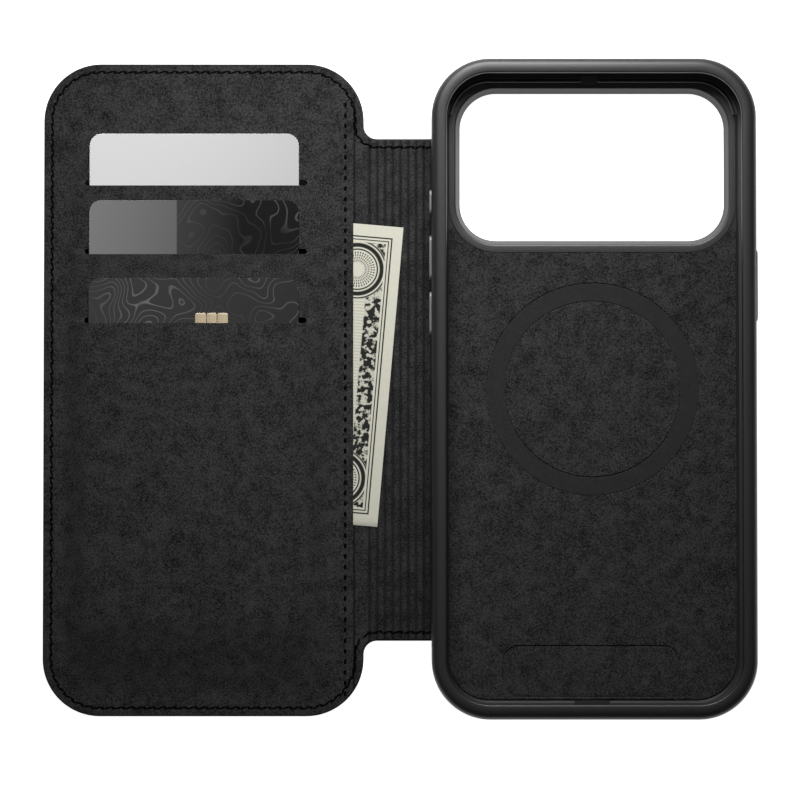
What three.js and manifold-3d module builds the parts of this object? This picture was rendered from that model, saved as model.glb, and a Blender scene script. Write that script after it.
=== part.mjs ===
// A folding phone wallet case: a phone tray with a magnet ring and a camera window, a ribbed leather
// spine, and a cover with three card pockets and a cash pocket. It lies open and flat.
// Millimetres. The origin is the centre of the phone tray's leather back, +X points away from the
// cover, +Y towards the camera end, and +Z out of the phone tray.

import * as THREE from "three";
import { mergeVertices } from "three/addons/utils/BufferGeometryUtils.js";
import Module from "manifold-3d";

// The phone that the tray holds
const PHONE_WIDTH = 78.0;
const PHONE_LENGTH = 163.4;
const PHONE_THICKNESS = 8.75;
const PHONE_CLEARANCE = 0.1;

// Bumper
const SIDE_WALL = 2.4;
const END_WALL = 2.6;
const CASE_CORNER_RADIUS = 15.0;
const BACK_EDGE_RADIUS = 3.0;
const LIP_EDGE_RADIUS = 1.2;
const LIP_OVERHANG = 1.5;
const LIP_THICKNESS = 0.95;
const LIP_CHAMFER = 0.4;
const TRAY_FILLET = 2.0;

// Layers of the phone side, from the outside in
const LEATHER_THICKNESS = 0.8;
const SHELL_THICKNESS = 1.0;
const LINING_THICKNESS = 0.3;
const BACK_PANEL_INSET = 3.1;
const SEAM_GAP = 0.1;
const LAYER_GAP = 0.02;

// Camera window
const WINDOW_WIDTH = 68.2;
const WINDOW_HEIGHT = 38.1;
const WINDOW_RADIUS = 9.3;
const WINDOW_TO_CASE_TOP = 7.9;
const WINDOW_BEVEL = 1.6;
const WINDOW_STRAIGHT = 0.5;
const FRAME_WALL = 2.1;
const FRAME_BAR = 3.1;
const FRAME_PROUD = 0.8;

// Magnet ring and tag
const RING_OUTER_DIAMETER = 54.7;
const RING_INNER_DIAMETER = 45.2;
const RING_INLAY = 0.15;
const MAGNET_COUNT = 18;
const MAGNET_THICKNESS = 0.6;
const MAGNET_RADIAL_WIDTH = 3.8;
const MAGNET_SPACING = 0.6;
const MAGNET_GAP = 0.05;
const TAG_WIDTH = 44.0;
const TAG_HEIGHT = 12.0;
const TAG_THICKNESS = 0.2;
const TAG_RADIUS = 4.0;
const TAG_TO_LINING_END = 1.0;

// Buttons: [name, centre along the case, length], on the cover's side and on the far side
const NEAR_BUTTONS = [
  ["action_button", 47.8, 6.2],
  ["volume_up_button", 33.5, 11.3],
  ["volume_down_button", 19.2, 11.2],
];
const FAR_BUTTONS = [["side_button", 26.35, 18.3]];
const BUTTON_HEIGHT = 3.0;
const BUTTON_PROUD = 0.55;
const BUTTON_FLANGE = 0.7;
const BUTTON_FLANGE_RIM = 0.6;
const BUTTON_CLEARANCE = 0.15;
const BUTTON_BEHIND = 0.2;

// Openings at the port end: [centre across, width, height]
const PORT = [0, 8.8, 4.6];
const SPEAKER_SLOTS = [
  [-17.5, 11.0, 2.2],
  [17.5, 11.0, 2.2],
];

// Spine: a ribbed panel between two hinges, which stands clear of the buttons when the case closes
const RIB_PITCH = 2.0;
const SPINE_LENGTH = 128.8;
const SPINE_LINING = 0.4;
const SPINE_CLEARANCE = 0.15;
const CARD_TO_GLASS = 0.2;
const GROOVE_GAP = 0.1;
const GROOVE_WIDTH = 0.8;
const GROOVE_DEPTH = 0.5;

// Cover
const COVER_WIDTH = 82.0;
const COVER_LENGTH = 167.5;
const COVER_CORNER_RADIUS = 14.7;
const COVER_PAST_HINGE = 0.05;
const BOARD_THICKNESS = 0.3;
const BOARD_INSET = 2.0;
const POCKET_LINING_THICKNESS = 0.15;
const CASH_POCKET_DEPTH = 0.25;
const PANEL_THICKNESS = 0.2;
const PANEL_INSET = 0.3;
const PANEL_TO_HINGE = 2.45;
const SEAM_WIDTH = 3.0;

// Cards and pockets
const CARD_WIDTH = 53.98;
const CARD_LENGTH = 85.6;
const CARD_THICKNESS = 0.76;
const CARD_RADIUS = 3.18;
const CARD_CLEARANCE = 0.02;
const SLIT_WIDTH = 57.2;
const SLIT_TO_COVER_EDGE = 10.4;
const TOP_SLIT_TO_COVER_TOP = 31.25;
const SLIT_SPACING = 17.8;
const CARDS_SHOWING = [13.4, 13.9, 11.6];
const CARD_OFFSET_IN_SLIT = -0.5;
const POCKET_SHEET = 0.2;
const POCKET_SIDE = 3.2;
const POCKET_FOOT = 4.5;

// Folded note in the cash pocket
const NOTE_WIDTH = 66.3;
const NOTE_LENGTH = 77.5;
const NOTE_THICKNESS = 0.18;
const NOTE_TILT = THREE.MathUtils.degToRad(-5);
const NOTE_OUT_OF_POCKET = 9.7;
const NOTE_CENTRE_Y = 5.0;

// How finely curves are divided, and how far a cutter reaches past the face that it cuts
const ARC_STEPS = 6;
const BACK_EDGE_STEPS = 5;
const SMALL_ARC_STEPS = 3;
const MAGNET_STEPS = 2;
const MERGE_DISTANCE = 1e-4;
const CUT_MARGIN = 1.0;

// Sizes that follow
const caseHalfX = PHONE_WIDTH / 2 + PHONE_CLEARANCE + SIDE_WALL;
const caseHalfY = PHONE_LENGTH / 2 + PHONE_CLEARANCE + END_WALL;
const trayHalfX = PHONE_WIDTH / 2 + PHONE_CLEARANCE;
const trayHalfY = PHONE_LENGTH / 2 + PHONE_CLEARANCE;
const trayCornerRadius = CASE_CORNER_RADIUS - SIDE_WALL;
const shellTop = LEATHER_THICKNESS + SHELL_THICKNESS;
const liningTop = shellTop + LINING_THICKNESS;
const glassLevel = liningTop + PHONE_THICKNESS;
const lipTop = glassLevel + LIP_THICKNESS;
const midLevel = liningTop + PHONE_THICKNESS / 2;
const liningHalfX = trayHalfX - TRAY_FILLET - SEAM_GAP;
const liningHalfY = trayHalfY - TRAY_FILLET - SEAM_GAP;
const liningRadius = trayCornerRadius - TRAY_FILLET - SEAM_GAP;
const windowCentreY = caseHalfY - WINDOW_TO_CASE_TOP - WINDOW_HEIGHT / 2;
const windowTopOpening = WINDOW_BEVEL + SEAM_GAP;
const tagCentreY = TAG_HEIGHT / 2 + TAG_TO_LINING_END - liningHalfY;

const boardTop = LEATHER_THICKNESS + BOARD_THICKNESS;
const cashFloor = boardTop + POCKET_LINING_THICKNESS;
const panelBottom = cashFloor + CASH_POCKET_DEPTH;
const panelTop = panelBottom + PANEL_THICKNESS;
const cardLayer = CARD_THICKNESS + 2 * CARD_CLEARANCE;
const pocketLayer = cardLayer + POCKET_SHEET;
const pocketsTop = panelTop + CARDS_SHOWING.length * pocketLayer;

// The closed spine stands clear of the buttons and holds the pockets clear of the phone's glass.
const spineThickness = LEATHER_THICKNESS + SPINE_LINING;
const firstHinge = -caseHalfX - BUTTON_PROUD - SPINE_CLEARANCE - spineThickness;
const closedHeight = glassLevel + CARD_TO_GLASS + pocketsTop;
const lastHinge = firstHinge - closedHeight;
const coverRight = lastHinge + COVER_PAST_HINGE;
const coverCentreX = coverRight - COVER_WIDTH / 2;
const coverLeft = coverRight - COVER_WIDTH;
const coverHalfY = COVER_LENGTH / 2;
const panelRight = lastHinge - PANEL_TO_HINGE;
const slitCentreX = coverLeft + SLIT_TO_COVER_EDGE + SLIT_WIDTH / 2;
const cardCentreX = slitCentreX + CARD_OFFSET_IN_SLIT;
const topSlit = coverHalfY - TOP_SLIT_TO_COVER_TOP;
const lowestCardEnd = slitY(2) + CARDS_SHOWING[2] - CARD_LENGTH;
const pocketFootY = lowestCardEnd - POCKET_FOOT;

const wasm = await Module();
wasm.setup();

const FINISHES = {
  leather: [0x1b1a19, 0.62, 0],
  microfibre: [0x242424, 0.95, 0],
  spineLining: [0x262626, 0.95, 0],
  rubber: [0x161616, 0.7, 0],
  plastic: [0x1d1d1f, 0.55, 0],
  anodised: [0x2b2c2e, 0.4, 0.8],
  magnet: [0x8c8f94, 0.35, 1],
  board: [0x6b5f52, 0.9, 0],
  tag: [0xb08a3c, 0.5, 0.3],
  paleCard: [0xd8d8d8, 0.4, 0],
  greyCard: [0x4a4a4a, 0.35, 0],
  darkCard: [0x26282a, 0.35, 0],
  note: [0xd6d6c4, 0.8, 0],
};

// The slit that card pocket `index` opens at, counted from the camera end.
function slitY(index) {
  return topSlit - index * SLIT_SPACING;
}

function solidFrom(geometry) {
  const bare = geometry.clone();
  bare.deleteAttribute("normal");
  bare.deleteAttribute("uv");
  const merged = mergeVertices(bare, MERGE_DISTANCE);
  const mesh = new wasm.Mesh({
    numProp: 3,
    vertProperties: merged.attributes.position.array,
    triVerts: new Uint32Array(merged.index.array),
  });
  return new wasm.Manifold(mesh);
}

function geometryFrom(solid) {
  const mesh = solid.getMesh();
  const geometry = new THREE.BufferGeometry();
  geometry.setAttribute("position", new THREE.BufferAttribute(mesh.vertProperties, mesh.numProp));
  geometry.setIndex(new THREE.BufferAttribute(mesh.triVerts, 1));
  const flat = geometry.toNonIndexed();
  flat.computeVertexNormals();
  return flat;
}

function roundedRect(centreX, centreY, halfX, halfY, radius) {
  const shape = new THREE.Shape();
  const right = centreX + halfX - radius;
  const left = centreX - halfX + radius;
  const top = centreY + halfY - radius;
  const bottom = centreY - halfY + radius;
  const quarter = Math.PI / 2;
  shape.absarc(right, top, radius, 0, quarter);
  shape.absarc(left, top, radius, quarter, 2 * quarter);
  shape.absarc(left, bottom, radius, 2 * quarter, 3 * quarter);
  shape.absarc(right, bottom, radius, 3 * quarter, 4 * quarter);
  shape.closePath();
  return shape;
}

// A flat plate of a shape's outline between two levels.
function plate(shape, bottom, top, steps = ARC_STEPS) {
  const options = { depth: top - bottom, bevelEnabled: false, curveSegments: steps };
  return solidFrom(new THREE.ExtrudeGeometry(shape, options).translate(0, 0, bottom));
}

function box(lowX, highX, lowY, highY, lowZ, highZ) {
  const geometry = new THREE.BoxGeometry(highX - lowX, highY - lowY, highZ - lowZ);
  geometry.translate((lowX + highX) / 2, (lowY + highY) / 2, (lowZ + highZ) / 2);
  return solidFrom(geometry);
}

// A slot with round ends whose length runs along Y, from one X to another.
function slotAlongX(centreY, centreZ, length, height, fromX, toX) {
  const shape = roundedRect(centreZ, centreY, height / 2, length / 2, height / 2);
  const options = { depth: toX - fromX, bevelEnabled: false, curveSegments: ARC_STEPS };
  const geometry = new THREE.ExtrudeGeometry(shape, options);
  geometry.rotateY(Math.PI / 2);
  geometry.translate(fromX, 0, 2 * centreZ);
  return solidFrom(geometry);
}

// A slot with round ends whose width runs along X, from one Y to another.
function slotAlongY(centreX, centreZ, width, height, fromY, toY) {
  const shape = roundedRect(centreX, -centreZ, width / 2, height / 2, height / 2);
  return extrudedAlongY(shape, fromY, toY);
}

// A shape drawn with X across and -Z up, carried from one Y to another.
function extrudedAlongY(shape, fromY, toY) {
  const options = { depth: toY - fromY, bevelEnabled: false, curveSegments: ARC_STEPS };
  const geometry = new THREE.ExtrudeGeometry(shape, options);
  geometry.rotateX(-Math.PI / 2);
  geometry.translate(0, fromY, 0);
  return solidFrom(geometry);
}

// A shape from [x, z] points, ready for extrudedAlongY.
function sideProfile(points) {
  return new THREE.Shape(points.map(([x, z]) => new THREE.Vector2(x, -z)));
}

// The points of a rounded rectangle, counter-clockwise, the same number for every size.
function ringPoints(halfX, halfY, radius) {
  const points = [];
  for (let corner = 0; corner < 4; corner += 1) {
    const signX = corner === 0 || corner === 3 ? 1 : -1;
    const signY = corner < 2 ? 1 : -1;
    for (let step = 0; step <= ARC_STEPS; step += 1) {
      const angle = ((corner + step / ARC_STEPS) * Math.PI) / 2;
      const x = signX * (halfX - radius) + radius * Math.cos(angle);
      const y = signY * (halfY - radius) + radius * Math.sin(angle);
      points.push([x, y]);
    }
  }
  return points;
}

// A closed solid through rounded rectangles: each section is { z, inset } of one outline.
function lofted(halfX, halfY, radius, sections) {
  const rings = sections.map(({ inset }) => ringPoints(halfX - inset, halfY - inset, radius - inset));
  const count = rings[0].length;
  const positions = [];
  rings.forEach((ring, level) => {
    ring.forEach(([x, y]) => positions.push(x, y, sections[level].z));
  });
  const index = [];
  for (let level = 0; level + 1 < rings.length; level += 1) {
    for (let i = 0; i < count; i += 1) {
      const a = level * count + i;
      const b = level * count + ((i + 1) % count);
      index.push(a, b, b + count, a, b + count, a + count);
    }
  }
  const last = (rings.length - 1) * count;
  for (let i = 1; i + 1 < count; i += 1) {
    index.push(0, i + 1, i);
    index.push(last, last + i, last + i + 1);
  }
  const geometry = new THREE.BufferGeometry();
  geometry.setAttribute("position", new THREE.Float32BufferAttribute(positions, 3));
  geometry.setIndex(index);
  return solidFrom(geometry);
}

// Sections of a quarter-round edge: from `from` degrees to `to` degrees round its centre.
function roundEdge(radius, centreZ, from, to, steps) {
  const sections = [];
  for (let step = 0; step <= steps; step += 1) {
    const angle = THREE.MathUtils.degToRad(from + ((to - from) * step) / steps);
    sections.push({ z: centreZ + radius * Math.sin(angle), inset: radius * (1 - Math.cos(angle)) });
  }
  return sections;
}

function outerBody() {
  const low = roundEdge(BACK_EDGE_RADIUS, BACK_EDGE_RADIUS, -90, 0, BACK_EDGE_STEPS);
  const high = roundEdge(LIP_EDGE_RADIUS, lipTop - LIP_EDGE_RADIUS, 0, 90, SMALL_ARC_STEPS);
  return lofted(caseHalfX, caseHalfY, CASE_CORNER_RADIUS, [...low, ...high]);
}

// The phone's room: a filleted tray, straight walls and the lip's opening.
function phoneRoom() {
  const floor = shellTop + LAYER_GAP;
  const below = { z: shellTop, inset: TRAY_FILLET };
  const fillet = roundEdge(TRAY_FILLET, floor + TRAY_FILLET, -90, 0, SMALL_ARC_STEPS);
  const levels = [below, ...fillet, { z: glassLevel, inset: 0 }];
  const tray = lofted(trayHalfX, trayHalfY, trayCornerRadius, levels);
  const edge = LIP_OVERHANG + LAYER_GAP;
  const opening = lofted(trayHalfX, trayHalfY, trayCornerRadius, [
    { z: glassLevel - LIP_CHAMFER, inset: edge },
    { z: lipTop - LIP_CHAMFER, inset: edge },
    { z: lipTop + LIP_CHAMFER, inset: edge - 2 * LIP_CHAMFER },
  ]);
  return tray.add(opening);
}

// The cut under the bumper and the shell that the spine's leather and lining come out through.
function spineRecess() {
  const half = SPINE_LENGTH / 2 + 2 * SEAM_GAP;
  const inner = BACK_PANEL_INSET + CUT_MARGIN - caseHalfX;
  const outside = -caseHalfX - CUT_MARGIN;
  return box(outside, inner, -half, half, -CUT_MARGIN, spineThickness + SPINE_CLEARANCE);
}

// The room a button needs in a side wall: a slot for its cap and a bay for its flange.
function buttonBay(centreY, length, side) {
  const outside = side * (caseHalfX + 2 * CUT_MARGIN);
  const bayEnd = side * (trayHalfX + BUTTON_FLANGE + BUTTON_BEHIND + BUTTON_CLEARANCE);
  const inside = side * (trayHalfX - CUT_MARGIN);
  const capLength = length + 2 * BUTTON_CLEARANCE;
  const capHeight = BUTTON_HEIGHT + 2 * BUTTON_CLEARANCE;
  const rim = 2 * BUTTON_FLANGE_RIM;
  const slot = slotAlongX(centreY, midLevel, capLength, capHeight, ...ordered(inside, outside));
  const bay = slotAlongX(centreY, midLevel, capLength + rim, capHeight + rim, ...ordered(inside, bayEnd));
  return slot.add(bay);
}

function ordered(a, b) {
  return [Math.min(a, b), Math.max(a, b)];
}

function bumper() {
  const inset = BACK_PANEL_INSET - SEAM_GAP;
  const panelHole = roundedRect(0, 0, caseHalfX - inset, caseHalfY - inset, CASE_CORNER_RADIUS - inset);
  let solid = outerBody();
  solid = solid.subtract(plate(panelHole, -CUT_MARGIN, shellTop + LAYER_GAP));
  solid = solid.subtract(phoneRoom());
  solid = solid.subtract(spineRecess());
  for (const [, centreY, length] of NEAR_BUTTONS) {
    solid = solid.subtract(buttonBay(centreY, length, -1));
  }
  for (const [, centreY, length] of FAR_BUTTONS) {
    solid = solid.subtract(buttonBay(centreY, length, 1));
  }
  for (const [centreX, width, height] of [PORT, ...SPEAKER_SLOTS]) {
    const span = [-caseHalfY - CUT_MARGIN, CUT_MARGIN - trayHalfY];
    const through = slotAlongY(centreX, midLevel, width, height, ...span);
    solid = solid.subtract(through);
  }
  return solid;
}

function button(centreY, length, side) {
  const flangeStart = side * (trayHalfX + BUTTON_BEHIND);
  const flangeEnd = side * (trayHalfX + BUTTON_BEHIND + BUTTON_FLANGE);
  const capEnd = side * (caseHalfX + BUTTON_PROUD);
  const rim = 2 * BUTTON_FLANGE_RIM - 2 * BUTTON_CLEARANCE;
  const flangeSpan = ordered(flangeStart, flangeEnd);
  const flange = slotAlongX(centreY, midLevel, length + rim, BUTTON_HEIGHT + rim, ...flangeSpan);
  const cap = slotAlongX(centreY, midLevel, length, BUTTON_HEIGHT, ...ordered(flangeStart, capEnd));
  return flange.add(cap);
}

function windowShape(grow) {
  const halfX = WINDOW_WIDTH / 2 + grow;
  return roundedRect(0, windowCentreY, halfX, WINDOW_HEIGHT / 2 + grow, WINDOW_RADIUS + grow);
}

// The window's inside, straight near the back and widening towards the phone.
function windowCut() {
  const straight = plate(windowShape(0), -FRAME_PROUD - CUT_MARGIN, WINDOW_STRAIGHT + SEAM_GAP);
  const grow = WINDOW_BEVEL;
  const flare = lofted(
    WINDOW_WIDTH / 2 + windowTopOpening,
    WINDOW_HEIGHT / 2 + windowTopOpening,
    WINDOW_RADIUS + windowTopOpening,
    [
      { z: WINDOW_STRAIGHT, inset: windowTopOpening },
      { z: liningTop, inset: windowTopOpening - grow },
      { z: liningTop + CUT_MARGIN, inset: windowTopOpening - grow },
    ],
  ).translate([0, windowCentreY, 0]);
  return straight.add(flare);
}

// The flange that the camera frame rests on the shell with, under the phone.
function frameFlangeShape(grow) {
  const bottom = windowCentreY - WINDOW_HEIGHT / 2 - FRAME_BAR - grow;
  const top = liningHalfY + grow;
  const radius = WINDOW_RADIUS + FRAME_BAR;
  const halfX = liningHalfX + grow;
  return roundedRect(0, (bottom + top) / 2, halfX, (top - bottom) / 2, radius);
}

function cameraFrame() {
  const neck = plate(windowShape(FRAME_WALL), -FRAME_PROUD, shellTop + SEAM_GAP);
  const flange = plate(frameFlangeShape(0), shellTop, liningTop);
  const trayFloor = roundedRect(0, 0, liningHalfX, liningHalfY, liningRadius);
  return neck.add(flange.intersect(plate(trayFloor, 0, lipTop))).subtract(windowCut());
}

function backPanelShape() {
  const inset = BACK_PANEL_INSET;
  return roundedRect(0, 0, caseHalfX - inset, caseHalfY - inset, CASE_CORNER_RADIUS - inset);
}

function frameHole(bottom, top) {
  return plate(windowShape(FRAME_WALL + SEAM_GAP), bottom, top);
}

// Half a mitre: what a sheet's edge loses at a hinge, so that its neighbour can turn a quarter turn.
function mitre(hingeX, side, halfY) {
  const edge = hingeX + (side * GROOVE_GAP) / 2;
  const high = spineThickness + CUT_MARGIN;
  const points = [
    [edge - side * CUT_MARGIN, -CUT_MARGIN],
    [edge, -CUT_MARGIN],
    [edge, 0],
    [edge + side * high, high],
    [edge - side * CUT_MARGIN, high],
  ];
  return extrudedAlongY(sideProfile(side > 0 ? points : points.reverse()), -halfY, halfY);
}

// The back's leather, with the flap that runs out under the bumper to the first hinge.
function backLeather() {
  const half = SPINE_LENGTH / 2;
  const above = LEATHER_THICKNESS + CUT_MARGIN;
  const flap = box(firstHinge, -trayHalfX + TRAY_FILLET, -half, half, 0, LEATHER_THICKNESS);
  const sheet = plate(backPanelShape(), 0, LEATHER_THICKNESS).add(flap);
  return sheet.subtract(mitre(firstHinge, 1, half + CUT_MARGIN)).subtract(frameHole(-CUT_MARGIN, above));
}

function ringShape(outerRadius, innerRadius) {
  const shape = new THREE.Shape();
  shape.absarc(0, 0, outerRadius, 0, 2 * Math.PI);
  const hole = new THREE.Path();
  hole.absarc(0, 0, innerRadius, 0, 2 * Math.PI, true);
  shape.holes.push(hole);
  return shape;
}

function magnetRadii() {
  const middle = (RING_OUTER_DIAMETER + RING_INNER_DIAMETER) / 4;
  return [middle - MAGNET_RADIAL_WIDTH / 2, middle + MAGNET_RADIAL_WIDTH / 2];
}

function backShell() {
  const [inner, outer] = magnetRadii();
  const grooveTop = LEATHER_THICKNESS + MAGNET_THICKNESS + 2 * MAGNET_GAP;
  const groove = plate(ringShape(outer + SEAM_GAP, inner - SEAM_GAP), 0, grooveTop, 2 * MAGNET_COUNT);
  const recessFloor = shellTop - TAG_THICKNESS - MAGNET_GAP;
  const grown = TAG_RADIUS + SEAM_GAP;
  const halfX = TAG_WIDTH / 2 + SEAM_GAP;
  const halfY = TAG_HEIGHT / 2 + SEAM_GAP;
  const above = shellTop + CUT_MARGIN;
  const tagRecess = plate(roundedRect(0, tagCentreY, halfX, halfY, grown), recessFloor, above);
  const sheet = plate(backPanelShape(), LEATHER_THICKNESS, shellTop).subtract(frameHole(0, above));
  return sheet.subtract(groove).subtract(tagRecess).subtract(spineRecess());
}

function backLining() {
  const outline = roundedRect(0, 0, liningHalfX, liningHalfY, liningRadius);
  const sheet = plate(outline, shellTop, liningTop);
  const inlay = ringShape(RING_OUTER_DIAMETER / 2 + SEAM_GAP, RING_INNER_DIAMETER / 2 - SEAM_GAP);
  const high = liningTop + CUT_MARGIN;
  const inlayCut = plate(inlay, liningTop - RING_INLAY, high, 2 * MAGNET_COUNT);
  const frameCut = plate(frameFlangeShape(SEAM_GAP), 0, high);
  const windowTop = windowCentreY + WINDOW_HEIGHT / 2 - WINDOW_RADIUS;
  const above = box(-caseHalfX, caseHalfX, windowTop, caseHalfY, 0, high);
  return largestPiece(sheet.subtract(frameCut).subtract(above).subtract(inlayCut));
}

// A cut can leave slivers along a seam, and the sheet itself is the largest piece.
function largestPiece(solid) {
  const pieces = solid.decompose();
  return pieces.reduce((best, piece) => (piece.volume() > best.volume() ? piece : best));
}

function magnetRingPad() {
  const shape = ringShape(RING_OUTER_DIAMETER / 2, RING_INNER_DIAMETER / 2);
  return plate(shape, liningTop - RING_INLAY, liningTop, 2 * MAGNET_COUNT);
}

// One arc-shaped magnet, at its place on the ring.
function magnet(index) {
  const [inner, outer] = magnetRadii();
  const middle = (inner + outer) / 2;
  const share = (2 * Math.PI) / MAGNET_COUNT;
  const half = share / 2 - MAGNET_SPACING / 2 / middle;
  const centre = share * (index + 0.5);
  const shape = new THREE.Shape();
  shape.absarc(0, 0, outer, centre - half, centre + half);
  shape.absarc(0, 0, inner, centre + half, centre - half, true);
  shape.closePath();
  const bottom = LEATHER_THICKNESS + MAGNET_GAP;
  return plate(shape, bottom, bottom + MAGNET_THICKNESS, MAGNET_STEPS);
}

function nfcTag() {
  const outline = roundedRect(0, tagCentreY, TAG_WIDTH / 2, TAG_HEIGHT / 2, TAG_RADIUS);
  return plate(outline, shellTop - TAG_THICKNESS, shellTop);
}

// The spine's panel: leather and lining, mitred at both hinges and pressed with the ribs' grooves.
function spinePanel() {
  const half = SPINE_LENGTH / 2;
  let panel = box(lastHinge, firstHinge, -half, half, 0, spineThickness);
  panel = panel.subtract(mitre(firstHinge, -1, half + CUT_MARGIN));
  panel = panel.subtract(mitre(lastHinge, 1, half + CUT_MARGIN));
  const edge = spineThickness + GROOVE_WIDTH;
  for (let x = firstHinge - RIB_PITCH; x > lastHinge + edge; x -= RIB_PITCH) {
    if (x < firstHinge - edge) {
      panel = panel.subtract(ribGroove(x));
    }
  }
  return panel;
}

function ribGroove(x) {
  const above = spineThickness + CUT_MARGIN;
  const points = [
    [x, spineThickness - GROOVE_DEPTH],
    [x + GROOVE_WIDTH / 2, spineThickness],
    [x + GROOVE_WIDTH / 2, above],
    [x - GROOVE_WIDTH / 2, above],
    [x - GROOVE_WIDTH / 2, spineThickness],
  ];
  const half = SPINE_LENGTH / 2 + CUT_MARGIN;
  return extrudedAlongY(sideProfile(points), -half, half);
}

// The cover's outline, drawn in by `inset` and ending at `right` on the spine's side.
function coverSheet(inset, right, bottom, top) {
  const radius = COVER_CORNER_RADIUS - inset;
  const outline = roundedRect(coverCentreX, 0, COVER_WIDTH / 2 - inset, coverHalfY - inset, radius);
  const past = coverRight + CUT_MARGIN;
  const beyond = box(right, past, -coverHalfY, coverHalfY, bottom - CUT_MARGIN, top + CUT_MARGIN);
  return plate(outline, bottom, top).subtract(beyond);
}

function coverLeather() {
  const half = SPINE_LENGTH / 2 + SEAM_GAP;
  const edge = box(lastHinge, coverRight + CUT_MARGIN, -half, half, -CUT_MARGIN, spineThickness);
  const sheet = coverSheet(0, coverRight, 0, LEATHER_THICKNESS);
  return sheet.subtract(edge).subtract(mitre(lastHinge, -1, half));
}

// The face of the cover, on a seam that closes the cash pocket on three sides.
function cardPanel() {
  const face = coverSheet(PANEL_INSET, panelRight, panelBottom, panelTop);
  const seam = coverSheet(PANEL_INSET, panelRight, cashFloor, panelBottom + LAYER_GAP);
  const inner = PANEL_INSET + SEAM_WIDTH;
  const below = cashFloor - CUT_MARGIN;
  const room = coverSheet(inner, coverRight, below, panelBottom);
  const mouthHalf = coverHalfY - inner - COVER_CORNER_RADIUS;
  const mouthLeft = panelRight - 2 * SEAM_WIDTH;
  const mouth = box(mouthLeft, panelRight + CUT_MARGIN, -mouthHalf, mouthHalf, below, panelBottom);
  return face.add(seam.subtract(room).subtract(mouth));
}

function pocketFloor(index) {
  return panelTop + index * pocketLayer;
}

function cardPocket(index) {
  const bottom = pocketFloor(index);
  const halfX = SLIT_WIDTH / 2 + POCKET_SIDE;
  const low = slitCentreX - halfX;
  const high = slitCentreX + halfX;
  const slab = box(low, high, pocketFootY, slitY(index), bottom, bottom + pocketLayer);
  const cardEnd = slitY(index) + CARDS_SHOWING[index] - CARD_LENGTH - CARD_CLEARANCE;
  const left = slitCentreX - SLIT_WIDTH / 2;
  const past = slitY(index) + CUT_MARGIN;
  const room = box(left, left + SLIT_WIDTH, cardEnd, past, bottom - CUT_MARGIN, bottom + cardLayer);
  return slab.subtract(room);
}

function card(index) {
  const centreY = slitY(index) + CARDS_SHOWING[index] - CARD_LENGTH / 2;
  const bottom = pocketFloor(index) + CARD_CLEARANCE;
  const outline = roundedRect(cardCentreX, centreY, CARD_WIDTH / 2, CARD_LENGTH / 2, CARD_RADIUS);
  return plate(outline, bottom, bottom + CARD_THICKNESS, SMALL_ARC_STEPS);
}

function makeNote() {
  const halfX = NOTE_WIDTH / 2;
  const halfY = NOTE_LENGTH / 2;
  const mesh = meshOf("folded_note", box(-halfX, halfX, -halfY, halfY, 0, NOTE_THICKNESS), "note");
  mesh.rotation.z = NOTE_TILT;
  const outX = panelRight + NOTE_OUT_OF_POCKET - NOTE_WIDTH / 2;
  mesh.position.set(outX, NOTE_CENTRE_Y, cashFloor + (CASH_POCKET_DEPTH - NOTE_THICKNESS) / 2);
  return mesh;
}

function meshOf(name, solid, finishName) {
  const [color, roughness, metalness] = FINISHES[finishName];
  const material = new THREE.MeshStandardMaterial({ color, roughness, metalness });
  const mesh = new THREE.Mesh(geometryFrom(solid), material);
  mesh.name = name;
  return mesh;
}

function numbered(name, index) {
  return `${name}_${String(index + 1).padStart(2, "0")}`;
}

function makePhoneSide() {
  const group = new THREE.Group();
  group.add(meshOf("back_leather", backLeather(), "leather"));
  group.add(meshOf("back_shell", backShell(), "plastic"));
  group.add(meshOf("bumper", bumper(), "rubber"));
  group.add(meshOf("camera_frame", cameraFrame(), "rubber"));
  group.add(meshOf("back_lining", backLining(), "microfibre"));
  group.add(meshOf("magnet_ring_pad", magnetRingPad(), "microfibre"));
  group.add(meshOf("nfc_tag", nfcTag(), "tag"));
  for (let index = 0; index < MAGNET_COUNT; index += 1) {
    group.add(meshOf(numbered("magnet", index), magnet(index), "magnet"));
  }
  return group;
}

function makeButtons() {
  const group = new THREE.Group();
  for (const [name, centreY, length] of NEAR_BUTTONS) {
    group.add(meshOf(name, button(centreY, length, -1), "anodised"));
  }
  for (const [name, centreY, length] of FAR_BUTTONS) {
    group.add(meshOf(name, button(centreY, length, 1), "anodised"));
  }
  return group;
}

function makeCover() {
  const group = new THREE.Group();
  const boardRight = panelRight + BOARD_THICKNESS;
  const liningRight = lastHinge - spineThickness - SEAM_GAP;
  group.add(meshOf("cover_leather", coverLeather(), "leather"));
  const board = coverSheet(BOARD_INSET, boardRight, LEATHER_THICKNESS, boardTop);
  group.add(meshOf("cover_board", board, "board"));
  const lining = coverSheet(PANEL_INSET, liningRight, boardTop, cashFloor);
  group.add(meshOf("cash_pocket_lining", lining, "microfibre"));
  group.add(meshOf("card_panel", cardPanel(), "microfibre"));
  for (let index = 0; index < CARDS_SHOWING.length; index += 1) {
    group.add(meshOf(numbered("card_pocket", index), cardPocket(index), "microfibre"));
  }
  return group;
}

function makeContents() {
  const group = new THREE.Group();
  ["paleCard", "greyCard", "darkCard"].forEach((finish, index) => {
    group.add(meshOf(numbered("card", index), card(index), finish));
  });
  group.add(makeNote());
  return group;
}

const walletCase = new THREE.Group();
walletCase.add(makePhoneSide(), makeButtons(), makeCover(), makeContents());
walletCase.add(meshOf("spine_panel", spinePanel(), "spineLining"));

export default walletCase;
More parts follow.
